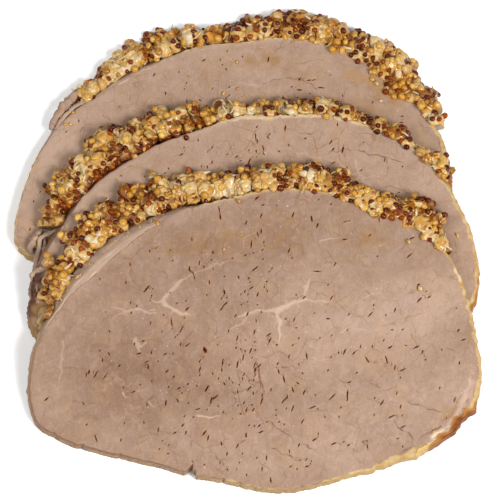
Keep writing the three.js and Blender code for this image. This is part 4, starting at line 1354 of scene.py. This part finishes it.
# distance to the nearest middle or edge of cells about size millimetres long
def cells(where, size, feature="F1"):
    return addNode(where.tree, "TexVoronoi", {"Vector": where, "Scale": 1 / (size * mm)}, "Distance", feature=feature)


# distance to a line from the way to it; the plain distance rules out places between two lines
def lineReach(tree, name, far):
    length = addNode(tree, "VectorMath", {0: readField(tree, name, "Vector")}, "Value", operation="LENGTH")
    return addNode(tree, "Math", {0: length, 1: far - 1.2}, operation="MAXIMUM")


# the meat: flesh, then what lies on it in turn, each mixed in by its own amount
def meatMaterial():
    material, shader = newMaterial("cut_meat", 0.38, 0.07, glow=0.03, depth=(1.4, 0.6, 0.35))
    tree = material.node_tree
    where = addNode(tree, "TexCoord", {}, "Object")
    inside, rindWidth, roastWidth = splitField(tree, "rim")
    stain, light, crackPower = splitField(tree, "tone")
    veinFar, crackFar, veinPower = splitField(tree, "lines")
    veinAway, crackAway = lineReach(tree, "veinWay", veinFar), lineReach(tree, "crackWay", crackFar)
    along, across, strength = splitField(tree, "pore")
    grain, ragged, patch = cloud(where, 0.5, 3.0, 0.6), cloud(where, 0.9, 4.0, 0.65), cloud(where, 5, 3.0, 0.55)

    # fine net of seams between the bundles, here and there, and strands that run one way
    drift = addNode(tree, "VectorMath", {0: cloud(where, 4.2).other("Color"), "Scale": 2.0 * mm}, operation="SCALE")
    bent = addNode(tree, "VectorMath", {0: where, 1: drift}, operation="ADD")
    grainAway = addNode(tree, "Mapping", {"Vector": bent, "Rotation": (0.0, 0.0, -0.3), "Scale": (1.0, 0.32, 1.0)})
    net, strands = cells(bent, 7.5, "DISTANCE_TO_EDGE"), cells(grainAway, 2.7, "DISTANCE_TO_EDGE")
    seams = steps(net, 0.024, 0.0) * steps(cloud(where, 7), 0.46, 0.62)
    hairs = steps(strands, 0.035, 0.0) * steps(cloud(where, 4.5), 0.5, 0.64)

    # flesh: from darker to lighter, with bundles, mottles, warm and cool patches, grain and fibres
    bundle = addNode(tree, "SeparateColor", {"Color": cells(where, 1.6).other("Color")})
    mottle, hue = cloud(where, 2.6, 4.0, 0.62, 0.8), cloud(where, 8, 4.0, 0.58, 0.6)
    fibres = cloud(grainAway, 0.8, 3.0, 0.6)
    colour = layers(
        blend(light * 0.42 + 0.34 + patch * 0.32, (120, 93, 76), (159, 134, 116)),
        (bundle * 0.07, (124, 96, 78)),
        (steps(mottle, 0.5, 0.7) * 0.2, (176, 148, 130)), (steps(mottle, 0.5, 0.32) * 0.2, (116, 80, 54)),
        (steps(hue, 0.5, 0.64) * 0.19, (160, 128, 94)), (steps(hue, 0.5, 0.36) * 0.19, (156, 132, 120)),
        (steps(grain, 0.48, 0.75) * 0.13, (186, 160, 138)), (steps(grain, 0.48, 0.25) * 0.17, (112, 78, 52)),
        (seams * 0.42, (104, 62, 30)),
        (steps(fibres, 0.52, 0.7) * 0.08, (184, 156, 136)), (steps(fibres, 0.47, 0.3) * 0.08, (108, 76, 54)),
        (hairs * 0.36, (106, 64, 32)))

    # juices, veins of fat, and crumbs of fat
    feather = ragged * 1.5 - 0.75
    vein = steps(veinAway + feather, 1.6, 0.2) * veinPower
    fat = blend(steps(veinPower, 1.05, 1.3), (180, 156, 138), (192, 174, 146))
    colour = layers(colour, (stain * 0.55, (134, 98, 50)), (vein * 0.72, fat))
    for size, reach, chance in ((2.0, 0.07, 0.35), (6.5, 0.042, 0.6)):
        dots = cells(where, size)
        lucky = addNode(tree, "SeparateColor", {"Color": dots.other("Color")}, 1)
        fleck = steps(dots + grain * 0.16 - 0.08, reach * 1.5, reach * 0.8) * steps(lucky, chance, chance + 0.04)
        colour = blend(fleck * 0.6, colour, (186, 164, 146))

    # the outside: a dull brown wall, olive gold at the foot, baked brown, with cream and yellow streaks
    band = readField(tree, "band", "Vector")
    wallStreak = cloud(band, 0.9 / mm, 4.0, 0.62)
    frayed = inside + ragged * 0.4 - 0.2
    onLight = steps(light, 0.0, 0.6)
    wall = layers(
        blend(light * 0.38 + 0.1 + wallStreak * 0.6, (90, 52, 28), (166, 142, 124)),
        (steps(frayed, -0.3, -0.5) * steps(light, 0.9, 0.2) * 0.85,
         blend(steps(patch, 0.42, 0.62), (146, 112, 52), (128, 88, 42))),
        (steps(frayed + patch * 0.6 - 0.3, -0.6, -0.95) * 0.7, (98, 56, 22)),
        (steps(cloud(band, 1.3 / mm, 5.0, 0.65), 0.53, 0.62) * onLight * 0.6, (184, 162, 142)),
        (steps(cloud(where, 1.1, 4.0, 0.7), 0.58, 0.64) * onLight * 0.35, (176, 142, 84)))
    isWall = steps(inside, -0.02, -0.1)
    hem = steps(inside + ragged * 0.5 - 0.25, 0.26, 0.0) * (1.0 - isWall)
    colour = layers(colour, (isWall, wall), (hem * 0.6, (104, 68, 40)))

    # golden rind and roasted brown, with crumbly borders, and painted strokes
    border = ragged - 0.5
    rind = steps(rindWidth - inside + border, -0.12, 0.3) * steps(rindWidth, 0.12, 0.5)
    rindTone = layers(
        blend(steps(cloud(where, 1.8, 4.0, 0.6), 0.3, 0.62), (160, 122, 66), (176, 150, 104)),
        (steps(cloud(where, 3.4, 3.0), 0.52, 0.7), (188, 164, 122)),
        (isWall * 0.5, (148, 116, 60)), (steps(light, 0.6, 1.2) * 0.85, (184, 162, 130)))
    roastReach, isRoast = roastWidth - inside + border * 0.5, steps(roastWidth, 0.3, 0.8)
    roasted = blend(steps(cloud(where, 2.2, 3.0, 0.6), 0.36, 0.66), (78, 30, 2), (112, 56, 6))
    colour = layers(
        colour, (rind * 0.88, rindTone), (steps(roastReach, -0.1, 0.5) * isRoast * 0.85, (142, 88, 22)),
        (steps(roastReach, 0.5, 2.6) * isRoast * 0.92, roasted),
        (readField(tree, "painted") * (ragged * 0.8 + 0.55), readField(tree, "paint", "Vector")))

    # cracks and slits: dark brown of their own and painted shade of these narrow gaps, the slits' cores near black
    broken = steps(cloud(where, 2.4), 0.42, 0.56) * 0.6 + 0.4
    crack = steps(crackAway + feather * 0.6, 1.3, 0.1) * crackPower * broken
    reach = addNode(tree, "Math", {0: along * along + across * across}, operation="SQRT")
    reach = reach + (cloud(where, 0.5, 3.0) * 1.5 - 0.75)
    core = blend(steps(reach, 1.0, 0.55), (92, 42, 10), (50, 6, 0))
    colour = layers(colour, (crack * 0.85, (84, 36, 6)), (steps(reach, 2.6, 1.2) * strength * 0.2, (136, 90, 50)),
                    (steps(reach, 1.25, 0.85) * strength * 1.5, core))
    finishLook(shader, colour, grain * 0.06 + rind * ragged * 0.15 + isWall * wallStreak * 0.3, 0.7)
    return material


# the paste: brown, gold and cream by the mesh's own mix, with painted shade in the creases and brown where dark seeds
# gather and along the lip
def pasteMaterial():
    material, shader = newMaterial("mustard_paste", 0.2, 0.17, 0.25, 0.06, glow=0.35, depth=(0.8, 0.62, 0.42))
    tree = material.node_tree
    where = addNode(tree, "TexCoord", {}, "Object")
    crease, gold, cream = splitField(tree, "mix")
    patch = readField(tree, "tint") * 0.4 + (cloud(where, 1.4, 4.0, 0.6) - 0.2)
    goldTone = blend(steps(patch, 0.25, 0.75), (116, 62, 4), (182, 124, 32))
    creamTone = layers(blend(steps(patch, 0.3, 0.6), (170, 124, 54), (184, 152, 98)),
                       (steps(patch, 0.58, 0.76), (190, 174, 146)))
    # painted shade in the creases, the deepest darkest, and brown where dark seeds gather and along the lip
    shadeAndBrownColour = layers(blend(steps(cream, 0.3, 0.7), (92, 34, 0), (136, 80, 18)), (steps(crease, 1.0, 1.5), (62, 18, 0)))
    shadeAndBrownAmount = crease + (cloud(where, 0.8, 3.0) * 0.8 - 0.4)
    colour = layers(blend(steps(patch, 0.25, 0.65), (122, 76, 26), (178, 142, 80)),
                    (steps(gold, 0.35, 0.8), goldTone), (steps(cream, 0.15, 0.5), creamTone),
                    (steps(shadeAndBrownAmount, 0.35, 0.9) * 0.9, shadeAndBrownColour))
    finishLook(shader, colour, cloud(where, 0.6, 3.0), 0.55, 0.3)
    return material


# seeds: each has a tint of its own between two colours, blotches, and a ring round one end
def seedMaterial(name, dull, bright, spot, blotched, roughness, specular, wet, glow, grit):
    material, shader = newMaterial(name, roughness, specular, wet, 0.1, glow)
    tree = material.node_tree
    where = addNode(tree, "TexCoord", {}, "Object")
    pole = readField(tree, "pole")
    colour = layers(blend(readField(tree, "tint"), dull, bright),
                    (steps(cloud(where, 0.8, 3.0, 0.6), 0.42, 0.7) * blotched, spot),
                    (steps(pole, 0.78, 0.84) * steps(pole, 0.93, 0.87) * 0.45, spot))
    finishLook(shader, colour, cloud(where, 0.35, 3.0), grit, 0.2)
    return material


# dull, bright and spot colours, how blotched, roughness, specular, wet film, glow and grit
seedLooks = {
    "yellow_seeds": ((176, 126, 40), (198, 162, 84), (160, 104, 22), 0.55, 0.15, 0.3, 0.1, 0.3, 0.5),
    "golden_seeds": ((126, 72, 4), (178, 126, 40), (190, 148, 68), 0.6, 0.15, 0.3, 0.1, 0.3, 0.6),
    "brown_seeds": ((94, 28, 0), (142, 66, 2), (54, 11, 0), 0.7, 0.14, 0.2, 0.0, 0.1, 0.25),
    "dark_seeds": ((42, 4, 0), (82, 22, 0), (112, 46, 0), 0.5, 0.12, 0.2, 0.0, 0.0, 0.3),
    "mustard_curds": ((176, 132, 62), (190, 168, 124), (158, 108, 36), 0.5, 0.26, 0.3, 0.1, 0.25, 0.6),
    "seed_hulls": ((150, 88, 14), (188, 138, 50), (190, 154, 82), 0.5, 0.22, 0.28, 0.1, 0.2, 0.4),
    "pale_shreds": ((180, 154, 104), (196, 184, 154), (160, 116, 56), 0.4, 0.3, 0.25, 0.1, 0.2, 0.6),
}
dressed = [(meatPieces + tornPieces, meatMaterial()), (pastePieces, pasteMaterial())]
dressed += [([seedPieces[kind]], seedMaterial(kind, *look)) for kind, look in seedLooks.items()]
for pieces, material in dressed:
    for piece in pieces:
        piece.data.materials.append(material)
print("materials done")


# ---- floor, lights and camera

stage = {
    "floor": 3.0,            # metres across
    "floorColour": (0.9, 0.9, 0.9, 1),
    "sky": 0.27,             # even light from all round
    "key": 17.9, "keySize": 0.4, "keyFrom": (0.62, -0.5, 0.86),   # watts, metres across, place in metres
    "fill": 6.5, "fillSize": 0.7, "fillFrom": (-0.5, -0.1, 0.8),
    "lens": 135, "sensor": 36, "nearClip": 0.01,
    "distance": 0.535, "elevation": 72, "lookAt": (0, 0, 8),   # metres, degrees, plan millimetres
}


# a square round the origin, level with the table
def makeFloor():
    half = stage["floor"] / 2 / mm
    corners = np.array([[-half, -half, 0], [half, -half, 0], [half, half, 0], [-half, half, 0]]) - shift
    floor = makePiece("floor", corners, np.array([[0, 1, 2, 3]]), boxed=False)
    material, shader = newMaterial("pale_floor", 0.7, 0.2)
    shader.inputs["Base Color"].default_value = stage["floorColour"]
    floor.data.materials.append(material)


# a light or camera at a place, its own -Z turned towards the target
def aimedAt(thing, place, target):
    thing.location = place
    thing.rotation_euler = (target - place).to_track_quat("-Z", "Y").to_euler()
    bpy.context.scene.collection.objects.link(thing)


# a square soft light
def makeLight(name, target):
    light = bpy.data.lights.new(name, "AREA")
    light.energy = stage[name]
    light.size = stage[name + "Size"]
    aimedAt(bpy.data.objects.new(name, light), vector(stage[name + "From"]), target)


# the camera in front of the target, raised by the elevation
def makeCamera(target):
    camera = bpy.data.objects.new("camera", bpy.data.cameras.new("camera"))
    camera.data.lens = stage["lens"]
    camera.data.sensor_width = stage["sensor"]
    camera.data.clip_start = stage["nearClip"]
    back, rise = polar(stage["distance"], stage["elevation"])
    aimedAt(camera, target + vector((0, -back, rise)), target)
    bpy.context.scene.camera = camera


vector = type(cadBox[0])
target = vector((np.array(stage["lookAt"]) + shift) * mm)
makeFloor()
makeLight("key", target)
makeLight("fill", target)
makeCamera(target)
world = bpy.data.worlds.new("studio")
world.use_nodes = True
background = world.node_tree.nodes["Background"]
background.inputs["Color"].default_value = (1, 1, 1, 1)
background.inputs["Strength"].default_value = stage["sky"]
bpy.context.scene.world = world
bpy.context.scene.view_settings.view_transform = "Standard"
